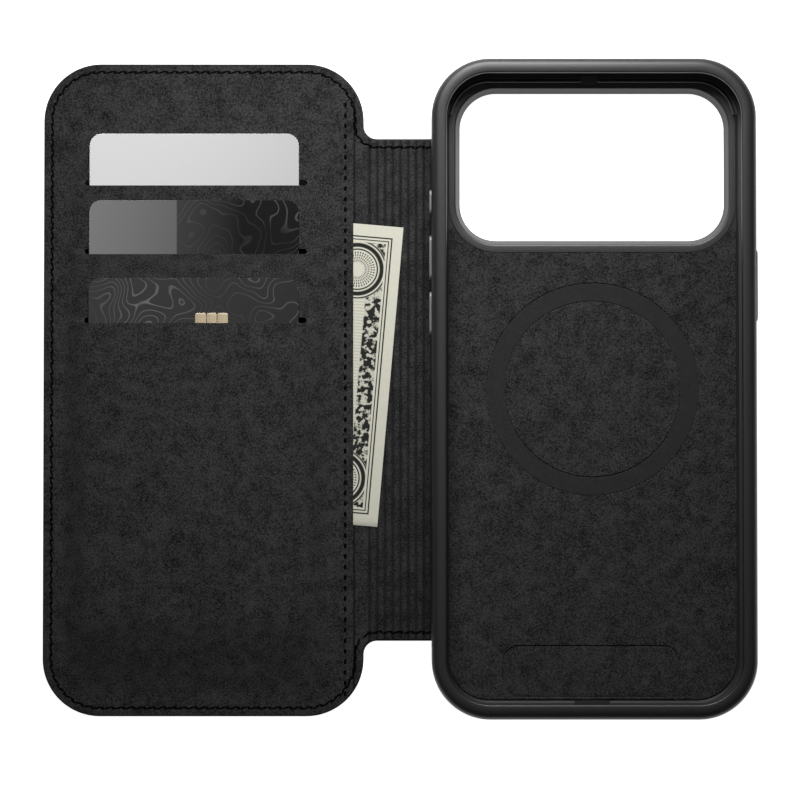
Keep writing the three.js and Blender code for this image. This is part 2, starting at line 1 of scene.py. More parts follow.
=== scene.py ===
"""The looks of a folding phone wallet case, lying open.

It has a moulded phone tray, a ribbed spine and a cover with cards. Lengths are in millimetres in the dataclasses and
in metres on the meshes. The frame is the part's own: the origin is the centre of the phone tray's leather back, +X
points away from the cover, +Y to the camera end and +Z out of the tray.
"""

import logging
import math
from dataclasses import dataclass, field
from enum import Enum
from typing import Callable, Iterable, Sequence

import bmesh
import bpy
from mathutils import Matrix, Vector


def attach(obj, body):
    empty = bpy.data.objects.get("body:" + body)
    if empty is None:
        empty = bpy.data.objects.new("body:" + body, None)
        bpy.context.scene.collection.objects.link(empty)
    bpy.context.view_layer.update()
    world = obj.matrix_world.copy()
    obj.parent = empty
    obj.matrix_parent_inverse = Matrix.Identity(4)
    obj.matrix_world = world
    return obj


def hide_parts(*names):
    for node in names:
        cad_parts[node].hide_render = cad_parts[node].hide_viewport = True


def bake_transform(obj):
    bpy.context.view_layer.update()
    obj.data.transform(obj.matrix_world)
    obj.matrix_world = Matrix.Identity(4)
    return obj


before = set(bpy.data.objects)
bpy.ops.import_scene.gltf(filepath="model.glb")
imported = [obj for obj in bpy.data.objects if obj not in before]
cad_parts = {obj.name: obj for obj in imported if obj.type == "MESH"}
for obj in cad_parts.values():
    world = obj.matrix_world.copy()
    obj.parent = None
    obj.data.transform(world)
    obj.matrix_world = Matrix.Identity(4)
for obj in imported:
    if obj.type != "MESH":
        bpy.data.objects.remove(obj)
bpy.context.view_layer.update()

logging.basicConfig(level=logging.INFO, format="%(message)s")
LOG = logging.getLogger("wallet_case")

MM = 0.001
SHARP_ANGLE = math.radians(38)
HOLE_FLATNESS = 0.15

Point2 = tuple[float, float]
Colour = tuple[float, float, float]


class Body(str, Enum):
    """The bodies that pieces ride on."""

    PHONE_SIDE = "phone_side"
    SPINE = "spine"
    COVER = "cover"


class Slot(str, Enum):
    """The material slots."""

    LEATHER = "leather"
    SPINE = "spine"
    MICROFIBRE = "microfibre"
    RING_PAD = "ring_pad"
    BUMPER = "bumper"
    BUTTON = "button_metal"
    PALE_CARD = "pale_card"
    GREY_CARD = "grey_card"
    DARK_CARD = "dark_card"
    NOTE = "note_paper"
    THREAD = "thread"


# ---------------------------------------------------------------- sizes


@dataclass(frozen=True)
class CaseSize:
    """The phone side's driving sizes, in millimetres."""

    half_x: float = 41.5
    half_y: float = 84.4
    corner: float = 15.0
    lining_top: float = 2.1
    lining_half_x: float = 37.0
    lining_half_y: float = 79.7
    lining_corner: float = 10.5
    mid: float = 6.475
    window_half_x: float = 34.1
    window_low: float = 38.4
    window_high: float = 76.5
    window_corner: float = 9.3
    frame_low: float = 35.3

    @property
    def window_centre(self) -> float:
        """The camera window's centre along the case."""
        return (self.window_low + self.window_high) / 2

    @property
    def window_half_y(self) -> float:
        """Half the camera window's height."""
        return (self.window_high - self.window_low) / 2


@dataclass(frozen=True)
class SpineSize:
    """The spine's driving sizes, in millimetres."""

    first_hinge: float = -43.4
    half_y: float = 64.7
    thickness: float = 1.2
    leather: float = 0.8
    pitch: float = 2.0
    grooves: int = 8
    groove_depth: float = 0.32
    groove_half: float = 0.42
    split: float = -50.4
    phone_bend: Point2 = (-41.7, -47.6)
    cover_bend: Point2 = (-55.0, -60.9)


@dataclass(frozen=True)
class CoverSize:
    """The cover's driving sizes, in millimetres."""

    centre_x: float = -100.15
    half_x: float = 41.25
    half_y: float = 84.05
    corner: float = 14.7
    fillet: float = 3.4
    panel_right: float = -61.6
    panel_inset: float = 0.3
    panel_top: float = 1.7
    layer: float = 1.0
    slit_centre: float = -102.1
    slit_half: float = 28.6
    slit_height: float = 1.47
    slits: tuple[float, float, float] = (52.5, 34.7, 16.9)
    card_ends: tuple[float, float, float] = (-19.7, -37.0, -57.1)
    card_centre: float = -102.6
    card_half_x: float = 26.99
    card_length: float = 85.6
    card_thickness: float = 0.76
    card_corner: float = 3.18
    card_tops: tuple[float, float, float] = (65.9, 48.6, 28.5)

    @property
    def right(self) -> float:
        """The cover's edge on the spine's side."""
        return self.centre_x + self.half_x

    @property
    def left(self) -> float:
        """The cover's free edge."""
        return self.centre_x - self.half_x


CASE = CaseSize()
SPINE = SpineSize()
COVER = CoverSize()


# ---------------------------------------------------------------- outlines


def smoothstep(value: float) -> float:
    """Ease from 0 to 1."""
    t = min(1.0, max(0.0, value))
    return t * t * (3 - 2 * t)


def arc(centre: Point2, radius: float, start: float, end: float, steps: int) -> list[Point2]:
    """Points round a centre.

    Args:
        centre: The arc's centre.
        radius: Its radius.
        start: The first angle in degrees.
        end: The last angle in degrees.
        steps: How many segments the arc has.

    Returns:
        The points, both ends included.
    """
    points = []
    for i in range(steps + 1):
        angle = math.radians(start + (end - start) * i / steps)
        points.append((centre[0] + radius * math.cos(angle), centre[1] + radius * math.sin(angle)))
    return points


def between(start: Point2, end: Point2, count: int) -> list[Point2]:
    """The points that split a straight line into `count` segments, without its ends."""
    return [(start[0] + (end[0] - start[0]) * (i / count), start[1] + (end[1] - start[1]) * (i / count))
            for i in range(1, count)]


def rounded_rect(half_x: float, half_y: float, radius: float, centre: Point2 = (0.0, 0.0), steps: int = 16,
                 straight: int = 1) -> list[Point2]:
    """A rounded rectangle's outline, counter-clockwise from the right side's middle top.

    Args:
        half_x: Half its width.
        half_y: Half its height.
        radius: Its corners' radius.
        centre: Its centre.
        steps: Segments in each corner.
        straight: Segments in each straight side.

    Returns:
        The outline's points.
    """
    radius = max(radius, 0.01)
    corners = ((1, 1, 0), (-1, 1, 90), (-1, -1, 180), (1, -1, 270))
    points: list[Point2] = []
    for sign_x, sign_y, start in corners:
        middle = (centre[0] + sign_x * (half_x - radius), centre[1] + sign_y * (half_y - radius))
        corner = arc(middle, radius, start, start + 90, steps)
        if points:
            points += between(points[-1], corner[0], straight)
        points += corner
    return points + between(points[-1], points[0], straight)


def offset_loop(points: Sequence[Point2], distance: float) -> list[Point2]:
    """Move a counter-clockwise loop inwards.

    Args:
        points: The loop.
        distance: How far in, in millimetres.

    Returns:
        The moved points, one for each.
    """
    moved = []
    count = len(points)
    for i, (x, y) in enumerate(points):
        before, after = points[i - 1], points[(i + 1) % count]
        normal = Vector((0.0, 0.0))
        for a, b in ((before, (x, y)), ((x, y), after)):
            edge = Vector((b[0] - a[0], b[1] - a[1]))
            if edge.length > 1e-6:
                normal += Vector((-edge.y, edge.x)).normalized()
        if normal.length < 1e-6:
            moved.append((x, y))
            continue
        normal.normalize()
        moved.append((x + normal.x * distance, y + normal.y * distance))
    return moved


# ---------------------------------------------------------------- meshes


class Solid:
    """A mesh in the making, in millimetres."""

    def __init__(self) -> None:
        self.verts: list[tuple[float, float, float]] = []
        self.faces: list[tuple[int, ...]] = []

    def loop(self, points: Iterable[Point2], level: float) -> list[int]:
        """Add a loop of points at one level and return their indices."""
        start = len(self.verts)
        self.verts.extend((x, y, level) for x, y in points)
        return list(range(start, len(self.verts)))

    def skin(self, first: Sequence[int], second: Sequence[int], closed: bool = True) -> None:
        """Join two rows of the same length with quads."""
        count = len(first)
        for i in range(count if closed else count - 1):
            j = (i + 1) % count
            self.faces.append((first[i], first[j], second[j], second[i]))

    def cap(self, loop: Sequence[int], holes: Sequence[Sequence[int]] = ()) -> None:
        """Fill a flat loop, round its holes, with triangles."""
        work = bmesh.new()
        lookup = {}
        for ring in (loop, *holes):
            made = []
            for index in ring:
                x, y, _ = self.verts[index]
                vert = work.verts.new((x, y, 0.0))
                lookup[vert] = index
                made.append(vert)
            for i, vert in enumerate(made):
                work.edges.new((vert, made[(i + 1) % len(made)]))
        bmesh.ops.triangle_fill(work, use_beauty=True, use_dissolve=False, edges=work.edges[:], normal=(0, 0, 1))
        for face in work.faces:
            self.faces.append(tuple(lookup[v] for v in face.verts))
        work.free()

    def swept(self, outline: Callable[[float], Sequence[Point2]], profile: Sequence[Point2],
              closed: bool = True) -> None:
        """Carry a closed profile round an outline.

        Args:
            outline: Gives the outline drawn in by an inset.
            profile: Pairs of inset and level, in order.
            closed: Whether the outline closes on itself; an open one gets end caps.
        """
        loops = [self.loop(outline(inset), level) for inset, level in profile]
        for first, second in zip(loops, loops[1:] + loops[:1]):
            self.skin(first, second, closed)
        if not closed:
            self.faces.append(tuple(loop[0] for loop in loops))
            self.faces.append(tuple(loop[-1] for loop in reversed(loops)))

    def lofted(self, outline: Callable[[float], Sequence[Point2]], profile: Sequence[Point2]) -> None:
        """Build a capped solid whose side follows pairs of inset and level."""
        loops = [self.loop(outline(inset), level) for inset, level in profile]
        self.walls(loops)
        self.cap(loops[0])
        self.cap(loops[-1])

    def walls(self, loops: Sequence[Sequence[int]]) -> None:
        """Join each closed loop to the next."""
        for first, second in zip(loops, loops[1:]):
            self.skin(first, second)

    def object(self, name: str) -> bpy.types.Object:
        """Make the mesh and link an object for it, both with the same name."""
        return make_object(name, self.mesh(name))

    def mesh(self, name: str) -> bpy.types.Mesh:
        """Make the mesh, with its faces pointing out.

        Args:
            name: The mesh's name.

        Returns:
            The mesh, in metres.
        """
        data = bpy.data.meshes.new(name)
        data.from_pydata([(x * MM, y * MM, z * MM) for x, y, z in self.verts], [], self.faces)
        work = bmesh.new()
        work.from_mesh(data)
        bmesh.ops.recalc_face_normals(work, faces=work.faces[:])
        for face in work.faces:
            face.smooth = True
        work.to_mesh(data)
        work.free()
        data.set_sharp_from_angle(angle=SHARP_ANGLE)
        return data


def make_object(name: str, data: bpy.types.Mesh) -> bpy.types.Object:
    """Link a new object for a mesh."""
    obj = bpy.data.objects.new(name, data)
    bpy.context.scene.collection.objects.link(obj)
    return obj


def refine(obj: bpy.types.Object) -> None:
    """Smooth a mesh's shading between its sharp edges."""
    for polygon in obj.data.polygons:
        polygon.use_smooth = True
    obj.data.set_sharp_from_angle(angle=SHARP_ANGLE)


def settled(obj: bpy.types.Object, name: str) -> bpy.types.Object:
    """Turn an object with modifiers into a plain one.

    Args:
        obj: The object with modifiers, which is removed.
        name: The plain object's name.

    Returns:
        The plain object.
    """
    graph = bpy.context.evaluated_depsgraph_get()
    data = bpy.data.meshes.new_from_object(obj.evaluated_get(graph), preserve_all_data_layers=True, depsgraph=graph)
    bpy.data.objects.remove(obj, do_unlink=True)
    plain = make_object(name, data)
    data.set_sharp_from_angle(angle=SHARP_ANGLE)
    return plain


def cut(target: bpy.types.Object, cutters: Sequence[bpy.types.Object], name: str) -> bpy.types.Object:
    """Subtract cutters from an object."""
    for cutter in cutters:
        modifier = target.modifiers.new(cutter.name, "BOOLEAN")
        modifier.operation = "DIFFERENCE"
        modifier.solver = "EXACT"
        modifier.object = cutter
    plain = settled(target, name)
    for cutter in cutters:
        bpy.data.objects.remove(cutter, do_unlink=True)
    refine(plain)
    return plain


def slot_cutter(name: str, centre: tuple[float, float, float], length: float, height: float, depth: float,
                along_x: bool) -> bpy.types.Object:
    """A round-ended prism for cutting a wall.

    Args:
        name: The object's name.
        centre: The prism's centre.
        length: The slot's length.
        height: Its height.
        depth: How far the prism goes through the wall.
        along_x: Whether it goes through a wall that faces X.

    Returns:
        The cutter.
    """
    solid = Solid()
    outline = rounded_rect(length / 2, height / 2, height / 2 - 0.01, steps=12)
    solid.lofted(lambda inset: outline, [(0, -depth / 2), (0, depth / 2)])
    turn = Matrix.Rotation(math.pi / 2, 4, "X")
    if along_x:
        turn = Matrix.Rotation(math.pi / 2, 4, "Z") @ turn
    data = solid.mesh(name)
    data.transform(Matrix.Translation(Vector(centre) * MM) @ turn)
    return make_object(name, data)


def dress(obj: bpy.types.Object, finish: "Finish", body: Body | str | None,
          replaces: Sequence[str] = ()) -> bpy.types.Object:
    """Give a finished piece its finish and its body.

    Args:
        obj: The piece.
        finish: Its finish.
        body: The body that it rides on, or None for one that bends.
        replaces: The CAD nodes that it stands for.

    Returns:
        The piece.
    """
    obj.data.materials.clear()
    obj.data.materials.append(PALETTE.get(finish))
    if body is not None:
        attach(obj, body.value if isinstance(body, Body) else body)
    if replaces:
        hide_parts(*replaces)
    LOG.info("%s: %d faces", obj.name, len(obj.data.polygons))
    return obj


def bend(obj: bpy.types.Object) -> None:
    """Bake a piece's placement into its mesh; it is attached to no body."""
    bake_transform(obj)


# ---------------------------------------------------------------- finishes


class Nodes:
    """A small helper for building shader nodes."""

    def __init__(self, name: str) -> None:
        self.material = bpy.data.materials.new(name)
        self.material.use_nodes = True
        self.tree = self.material.node_tree
        self.shader = self.tree.nodes["Principled BSDF"]
        self.coords = self.tree.nodes.new("ShaderNodeTexCoord").outputs["Object"]

    def set(self, **values: object) -> None:
        """Set the shader's own sockets by name, with underscores for spaces."""
        for key, value in values.items():
            socket = self.shader.inputs[key.replace("_", " ")]
            socket.default_value = (*value, 1.0) if isinstance(value, tuple) and len(value) == 3 else value

    def link(self, output: bpy.types.NodeSocket, target: bpy.types.NodeSocket) -> None:
        """Join two sockets."""
        self.tree.links.new(output, target)

    def node(self, kind: str, **settings: object) -> bpy.types.Node:
        """Add a node and set its properties."""
        made = self.tree.nodes.new(kind)
        for key, value in settings.items():
            setattr(made, key, value)
        return made

    def math(self, operation: str, first: object, second: object = 0.0, clamp: bool = False) -> bpy.types.NodeSocket:
        """Add a math node on sockets or numbers."""
        made = self.node("ShaderNodeMath", operation=operation, use_clamp=clamp)
        for index, value in enumerate((first, second)):
            if isinstance(value, bpy.types.NodeSocket):
                self.link(value, made.inputs[index])
            else:
                made.inputs[index].default_value = value
        return made.outputs[0]

    def noise(self, scale: float, detail: float = 3.0, rough: float = 0.6,
              vector: bpy.types.NodeSocket | None = None) -> bpy.types.NodeSocket:
        """A noise between 0 and 1, with its scale in features per metre."""
        made = self.node("ShaderNodeTexNoise")
        made.inputs["Scale"].default_value = scale
        made.inputs["Detail"].default_value = detail
        made.inputs["Roughness"].default_value = rough
        self.link(vector or self.coords, made.inputs["Vector"])
        return made.outputs["Fac"]

    def ramp(self, value: bpy.types.NodeSocket, low: float, high: float, start: float = 0.0,
             end: float = 1.0) -> bpy.types.NodeSocket:
        """Map a range of a value, clamped."""
        made = self.node("ShaderNodeMapRange")
        self.link(value, made.inputs["Value"])
        for key, number in (("From Min", low), ("From Max", high), ("To Min", start), ("To Max", end)):
            made.inputs[key].default_value = number
        return made.outputs["Result"]

    def mix(self, factor: bpy.types.NodeSocket, first: object, second: object) -> bpy.types.NodeSocket:
        """Mix two colours, given as sockets or colours."""
        made = self.node("ShaderNodeMix", data_type="RGBA")
        self.link(factor, made.inputs["Factor"])
        for index, value in ((6, first), (7, second)):
            if isinstance(value, bpy.types.NodeSocket):
                self.link(value, made.inputs[index])
            else:
                made.inputs[index].default_value = (*value, 1.0)
        return made.outputs[2]

    def bump(self, height: bpy.types.NodeSocket, strength: float, distance_mm: float) -> None:
        """Roughen the surface."""
        made = self.node("ShaderNodeBump")
        made.inputs["Strength"].default_value = strength
        made.inputs["Distance"].default_value = distance_mm * MM
        self.link(height, made.inputs["Height"])
        self.link(made.outputs["Normal"], self.shader.inputs["Normal"])

    def split(self) -> tuple[bpy.types.NodeSocket, ...]:
        """The object coordinates' X, Y and Z."""
        made = self.node("ShaderNodeSeparateXYZ")
        self.link(self.coords, made.inputs[0])
        return tuple(made.outputs)


@dataclass(frozen=True)
class Cloth:
    """Brushed microfibre: fine mottling, fibre specks, a soft sheen and, for the spine, painted shade in the grooves
    and along the card panel's edge.
    """

    name: str
    dark: Colour
    light: Colour
    grain: float = 2700.0
    speck: float = 0.35
    sheen: float = 0.05
    relief: float = 0.55
    # Whether the colour carries painted shade in the spine's grooves and along the card panel's edge.
    painted_groove_shade: bool = False

    def build(self) -> bpy.types.Material:
        """Make the material."""
        n = Nodes(self.name)
        fine = n.noise(self.grain, 4.0, 0.72)
        broad = n.noise(self.grain / 9, 3.0, 0.6)
        mixed = n.math("ADD", n.math("MULTIPLY", fine, 0.78), n.math("MULTIPLY", broad, 0.22))
        colour = n.mix(n.ramp(mixed, 0.41, 0.59), self.dark, self.light)
        specks = n.ramp(n.noise(self.grain * 1.7, 2.0, 0.5), 0.69, 0.78, 0.0, self.speck)
        pale = tuple(min(1.0, c * 4.2) for c in self.light)
        colour = n.mix(specks, colour, pale)
        # Painted shade: the spine's grooves and the crease at the card panel's edge are darkened towards near-black.
        if self.painted_groove_shade:
            colour = n.mix(self.grooves(n), colour, (0.006, 0.006, 0.006))
        n.link(colour, n.shader.inputs["Base Color"])
        n.set(Roughness=0.92, Sheen_Weight=self.sheen, Sheen_Roughness=0.45, Specular_IOR_Level=0.12)
        n.bump(mixed, self.relief, 0.12)
        return n.material

    @staticmethod
    def grooves(n: Nodes) -> bpy.types.NodeSocket:
        """How much painted shade darkens the spine's grooves and the crease at the card panel's edge, from 0 to 1.
        """
        spine = SPINE
        x = n.math("MULTIPLY", n.split()[0], 1000.0)
        turns = n.math("PINGPONG", n.math("SUBTRACT", x, spine.first_hinge), spine.pitch / 2)
        near = n.ramp(turns, 0.08, 0.72, 0.62, 0.0)
        last = spine.first_hinge - (spine.grooves - 1) * spine.pitch
        painted_groove_shade = n.math("MULTIPLY", near, n.ramp(x, last - 0.7, last - 0.6))
        # Painted shadow: a dark line along the card panel's edge.
        away = n.math("ABSOLUTE", n.math("SUBTRACT", x, COVER.panel_right + 0.25))
        return n.math("MAXIMUM", painted_groove_shade, n.ramp(away, 0.12, 0.42, 0.85, 0.0))


@dataclass(frozen=True)
class Leather:
    """Full-grain leather with a fine pebble."""

    name: str
    colour: Colour
    pebble: float = 620.0

    def build(self) -> bpy.types.Material:
        """Make the material."""
        n = Nodes(self.name)
        cells = n.node("ShaderNodeTexVoronoi", feature="DISTANCE_TO_EDGE")
        cells.inputs["Scale"].default_value = self.pebble
        n.link(n.coords, cells.inputs["Vector"])
        height = n.math("ADD", n.ramp(cells.outputs["Distance"], 0.0, 0.22), n.math("MULTIPLY", n.noise(2400), 0.35))
        n.link(n.mix(n.ramp(height, 0.1, 1.1), tuple(c * 0.7 for c in self.colour), self.colour),
               n.shader.inputs["Base Color"])
        n.link(n.ramp(height, 0.0, 1.2, 0.62, 0.44), n.shader.inputs["Roughness"])
        n.set(Specular_IOR_Level=0.4)
        n.bump(height, 0.5, 0.07)
        return n.material


@dataclass(frozen=True)
class Moulded:
    """A moulded surface: rubber, plastic or metal with a fine texture."""

    name: str
    colour: Colour
    roughness: float
    metallic: float = 0.0
    specular: float = 0.4
    texture: float = 1800.0
    relief: float = 0.08

    def build(self) -> bpy.types.Material:
        """Make the material."""
        n = Nodes(self.name)
        fine = n.noise(self.texture, 2.0, 0.5)
        n.link(n.mix(fine, tuple(c * 0.9 for c in self.colour), tuple(c * 1.08 for c in self.colour)),
               n.shader.inputs["Base Color"])
        n.set(Roughness=self.roughness, Metallic=self.metallic, Specular_IOR_Level=self.specular)
        n.bump(fine, self.relief, 0.03)
        return n.material


@dataclass(frozen=True)
class CardFace:
    """A plastic card: a gradient across it and fine contour lines."""

    name: str
    left: Colour
    right: Colour
    line: Colour
    line_strength: float
    seed: float
    step: float = -200.0
    beyond: Colour = (0.0, 0.0, 0.0)
    span: Point2 = (-129.6, -75.6)

    def build(self) -> bpy.types.Material:
        """Make the material."""
        n = Nodes(self.name)
        x = n.split()[0]
        base = n.mix(n.ramp(x, self.span[0] * MM, self.span[1] * MM), self.left, self.right)
        past = n.ramp(x, (self.step - 0.1) * MM, (self.step + 0.1) * MM) if self.step > self.span[0] else None
        if past is not None:
            fade = n.mix(n.ramp(x, self.step * MM, (self.step + 17) * MM), self.beyond, self.right)
            base = n.mix(past, base, fade)
        shift = n.node("ShaderNodeMapping")
        shift.inputs["Location"].default_value = (self.seed, self.seed * 0.37, 0)
        n.link(n.coords, shift.inputs["Vector"])
        field_value = n.noise(46.0, 2.0, 0.5, shift.outputs[0])
        waves = n.math("PINGPONG", n.math("MULTIPLY", field_value, 56.0), 1.0)
        fade_out = n.ramp(n.noise(60.0, 1.0, 0.5), 0.38, 0.62, 0.15, 1.0)
        lines = n.math("MULTIPLY", n.ramp(waves, 0.06, 0.2, self.line_strength, 0.0), fade_out)
        if past is not None:
            lines = n.math("MULTIPLY", lines, past)
        n.link(n.mix(lines, base, self.line), n.shader.inputs["Base Color"])
        n.set(Roughness=0.5, Specular_IOR_Level=0.14)
        return n.material


@dataclass(frozen=True)
class NotePrint:
    """Cotton paper with a generic engraved frame, rings and leaf scrolls, and no lettering."""

    name: str
    centre: Point2 = (-85.05, 6.0)
    half: Point2 = (33.15, 38.75)
    tilt: float = -5.0
    paper: Colour = (0.66, 0.65, 0.55)
    ink: Colour = (0.018, 0.02, 0.017)

    def build(self) -> bpy.types.Material:
        """Make the material."""
        n = Nodes(self.name)
        move = n.node("ShaderNodeMapping", vector_type="TEXTURE")
        move.inputs["Location"].default_value = (self.centre[0] * MM, self.centre[1] * MM, 0)
        move.inputs["Rotation"].default_value = (0, 0, math.radians(self.tilt))
        n.link(n.coords, move.inputs["Vector"])
        parts = n.node("ShaderNodeSeparateXYZ")
        n.link(move.outputs[0], parts.inputs[0])
        x, y = parts.outputs[0], parts.outputs[1]
        side = n.math("SUBTRACT", self.half[0] * MM, n.math("ABSOLUTE", x))
        end = n.math("SUBTRACT", self.half[1] * MM, n.math("ABSOLUTE", y))
        rim = n.math("MINIMUM", n.math("SUBTRACT", side, 2.7 * MM), n.math("SUBTRACT", end, 3.2 * MM))
        rim_mm = n.math("MULTIPLY", rim, 1000.0)
        outer = self.band(n, rim_mm, 0.0, 0.3)
        inner = self.band(n, rim_mm, 0.8, 0.22)
        field_mask = n.ramp(rim_mm, 1.4, 1.5)
        disc, clear = self.rings(n, x, y)
        scroll = self.scroll(n, move.outputs[0], rim_mm)
        lines = n.ramp(n.math("SINE", n.math("MULTIPLY", y, 7800.0)), 0.3, 0.8, 0.0, 0.22)
        body = n.math("MAXIMUM", n.math("MULTIPLY", n.math("MAXIMUM", scroll, lines), clear), disc)
        ink = n.math("MAXIMUM", n.math("MAXIMUM", outer, inner), n.math("MULTIPLY", field_mask, body), clamp=True)
        tone = n.mix(n.noise(900), tuple(c * 0.9 for c in self.paper), self.paper)
        n.link(n.mix(ink, tone, self.ink), n.shader.inputs["Base Color"])
        n.set(Roughness=0.85, Specular_IOR_Level=0.15)
        n.bump(n.noise(2200), 0.2, 0.03)
        return n.material

    @staticmethod
    def band(n: Nodes, value: bpy.types.NodeSocket, at: float, width: float) -> bpy.types.NodeSocket:
        """A thin line where a value is near `at`."""
        away = n.math("ABSOLUTE", n.math("SUBTRACT", value, at))
        return n.ramp(away, width * 0.45, width * 0.75, 1.0, 0.0)

    def rings(self, n: Nodes, x: bpy.types.NodeSocket,
              y: bpy.types.NodeSocket) -> tuple[bpy.types.NodeSocket, bpy.types.NodeSocket]:
        """A round rosette near each corner.

        Args:
            n: The material's nodes.
            x: The place across the note, in metres.
            y: The place along it.

        Returns:
            The rosettes' ink, and a mask that is 0 inside them.
        """
        dx = n.math("MULTIPLY", n.math("SUBTRACT", n.math("ABSOLUTE", x), 22.2 * MM), 1000.0)
        dy = n.math("MULTIPLY", n.math("SUBTRACT", n.math("ABSOLUTE", y), 27.0 * MM), 1000.0)
        radius = n.math("SQRT", n.math("ADD", n.math("MULTIPLY", dx, dx), n.math("MULTIPLY", dy, dy)))
        rays = n.ramp(n.math("SINE", n.math("MULTIPLY", n.math("ARCTAN2", dy, dx), 40.0)), -0.3, 0.3)
        fine = n.ramp(n.math("SINE", n.math("MULTIPLY", radius, 9.0)), 0.0, 0.5, 0.35, 1.0)
        core = n.math("MULTIPLY", n.ramp(radius, 4.6, 4.7, 1.0, 0.0), n.math("MULTIPLY", rays, fine))
        heart = n.ramp(radius, 1.7, 1.8)
        disc = n.math("MULTIPLY", core, heart)
        for at, width in ((5.2, 0.3), (6.3, 0.9), (7.4, 0.3)):
            disc = n.math("MAXIMUM", disc, self.band(n, radius, at, width))
        return disc, n.ramp(radius, 7.6, 7.7)

    @staticmethod
    def scroll(n: Nodes, vector: bpy.types.NodeSocket, rim: bpy.types.NodeSocket) -> bpy.types.NodeSocket:
        """Leafy dark engraving in a belt beside the frame."""
        leaves = n.ramp(n.noise(650.0, 3.0, 0.6, vector), 0.5, 0.56, 1.0, 0.1)
        return n.math("MULTIPLY", leaves, n.ramp(rim, 5.4, 5.7, 1.0, 0.0))


Finish = Cloth | Leather | Moulded | CardFace | NotePrint


@dataclass
class Palette:
    """Every material, made once."""

    table: dict[str, bpy.types.Material] = field(default_factory=dict)

    def get(self, finish: Finish) -> bpy.types.Material:
        """The material of a finish."""
        name = finish.name
        if name not in self.table:
            self.table[name] = finish.build()
        return self.table[name]


PILE: tuple[Colour, Colour] = ((0.005, 0.005, 0.0051), (0.049, 0.049, 0.0495))
MICROFIBRE = Cloth("microfibre_lining", *PILE)
POCKET_CLOTH = Cloth("microfibre_pockets", *PILE)
# Painted shade: the pockets' own microfibre made near-black, standing in for the shade inside the card slits.
POCKET_SHADE_CLOTH = Cloth("microfibre_pocket_painted_shade", (0.0008, 0.0008, 0.0008), (0.002, 0.002, 0.002), speck=0.0,
                    sheen=0.0)
# This lining's grooves and the card panel's edge crease get painted shade.
SPINE_CLOTH = Cloth("microfibre_spine", *PILE, painted_groove_shade=True)
RING_CLOTH = Cloth("microfibre_ring", (0.021, 0.021, 0.0212), (0.029, 0.029, 0.0292), speck=0.08, relief=0.2)
BLACK_LEATHER = Leather("black_leather", (0.024, 0.023, 0.022))
RUBBER = Moulded("bumper_rubber", (0.0125, 0.0125, 0.0128), 0.46, specular=0.7)
# Painted light: the bumper's rubber made lighter, standing in for light that the lip's shadow keeps off the tray's
# ridges.
RIDGE_RUBBER_PAINTED_LIGHT = Moulded("ridge_rubber_painted_light", (0.09, 0.09, 0.092), 0.5, specular=0.6)
# Painted highlight: the buttons' black anodised metal made light grey, standing in for the lit top edges of the
# buttons on the spine's side.
PAINTED_HIGHLIGHT_METAL = Moulded("button_anodised", (0.3, 0.3, 0.305), 0.45, metallic=0.4)
DARK_METAL = Moulded("button_anodised_dark", (0.02, 0.02, 0.021), 0.4, metallic=0.5)
PLASTIC = Moulded("shell_polycarbonate", (0.018, 0.018, 0.019), 0.5)
STEEL = Moulded("magnet_nickel", (0.55, 0.56, 0.58), 0.3, metallic=1.0)
FILM = Moulded("tag_amber_film", (0.42, 0.25, 0.07), 0.4)
FIBRE_BOARD = Moulded("fibre_board", (0.15, 0.12, 0.09), 0.85)
THREAD = Moulded("black_thread", (0.0022, 0.0022, 0.0022), 0.95, specular=0.03, relief=0.3)
GOLD = Moulded("chip_gold", (0.5, 0.41, 0.27), 0.4, specular=0.6)
PALE_FACE = CardFace("card_pale", (0.72, 0.72, 0.72), (0.48, 0.48, 0.48), (0.5, 0.5, 0.5), 0.0, 3.1)
GREY_FACE = CardFace("card_grey", (0.2, 0.2, 0.2), (0.0025, 0.0025, 0.0025), (0.13, 0.13, 0.13), 0.6, 7.7, -107.0,
                     (0.04, 0.04, 0.04))
DARK_FACE = CardFace("card_dark", (0.042, 0.042, 0.043), (0.022, 0.022, 0.023), (0.17, 0.17, 0.17), 0.7, 12.3)
NOTE_FACE = NotePrint("note_print")
PALETTE = Palette()


# ---------------------------------------------------------------- geometry nodes


@dataclass(frozen=True)
class GroupNodes:
    """A helper for building a geometry node group."""

    group: bpy.types.NodeTree

    def add(self, kind: str, inputs: dict[str | int, object], **settings: object) -> bpy.types.Node:
        """Add a node.

        Args:
            kind: The node's type.
            inputs: A number or another node's output for each input.
            settings: The node's own properties.

        Returns:
            The node.
        """
        made = self.group.nodes.new(kind)
        for key, value in settings.items():
            setattr(made, key, value)
        for key, value in inputs.items():
            if isinstance(value, bpy.types.NodeSocket):
                self.group.links.new(value, made.inputs[key])
            else:
                made.inputs[key].default_value = value
        return made

    def product(self, first: object, second: object) -> bpy.types.NodeSocket:
        """Multiply two sockets or numbers."""
        return self.add("ShaderNodeMath", {0: first, 1: second}, operation="MULTIPLY").outputs[0]

    def ball(self, rings: int, x: object, y: object, z: object) -> bpy.types.NodeSocket:
        """A ball with its own half size along each axis."""
        ball = self.add("GeometryNodeMeshUVSphere", {"Segments": 10, "Rings": rings, "Radius": 1.0})
        size = self.add("ShaderNodeCombineXYZ", {"X": x, "Y": y, "Z": z})
        scaled = self.add("GeometryNodeTransform", {"Geometry": ball.outputs[0], "Scale": size.outputs[0]})
        return scaled.outputs[0]

    def instances(self, points: object, shape: object, rotation: object) -> bpy.types.NodeSocket:
        """Put a shape on each point."""
        inputs = {"Points": points, "Instance": shape, "Rotation": rotation}
        return self.add("GeometryNodeInstanceOnPoints", inputs).outputs[0]


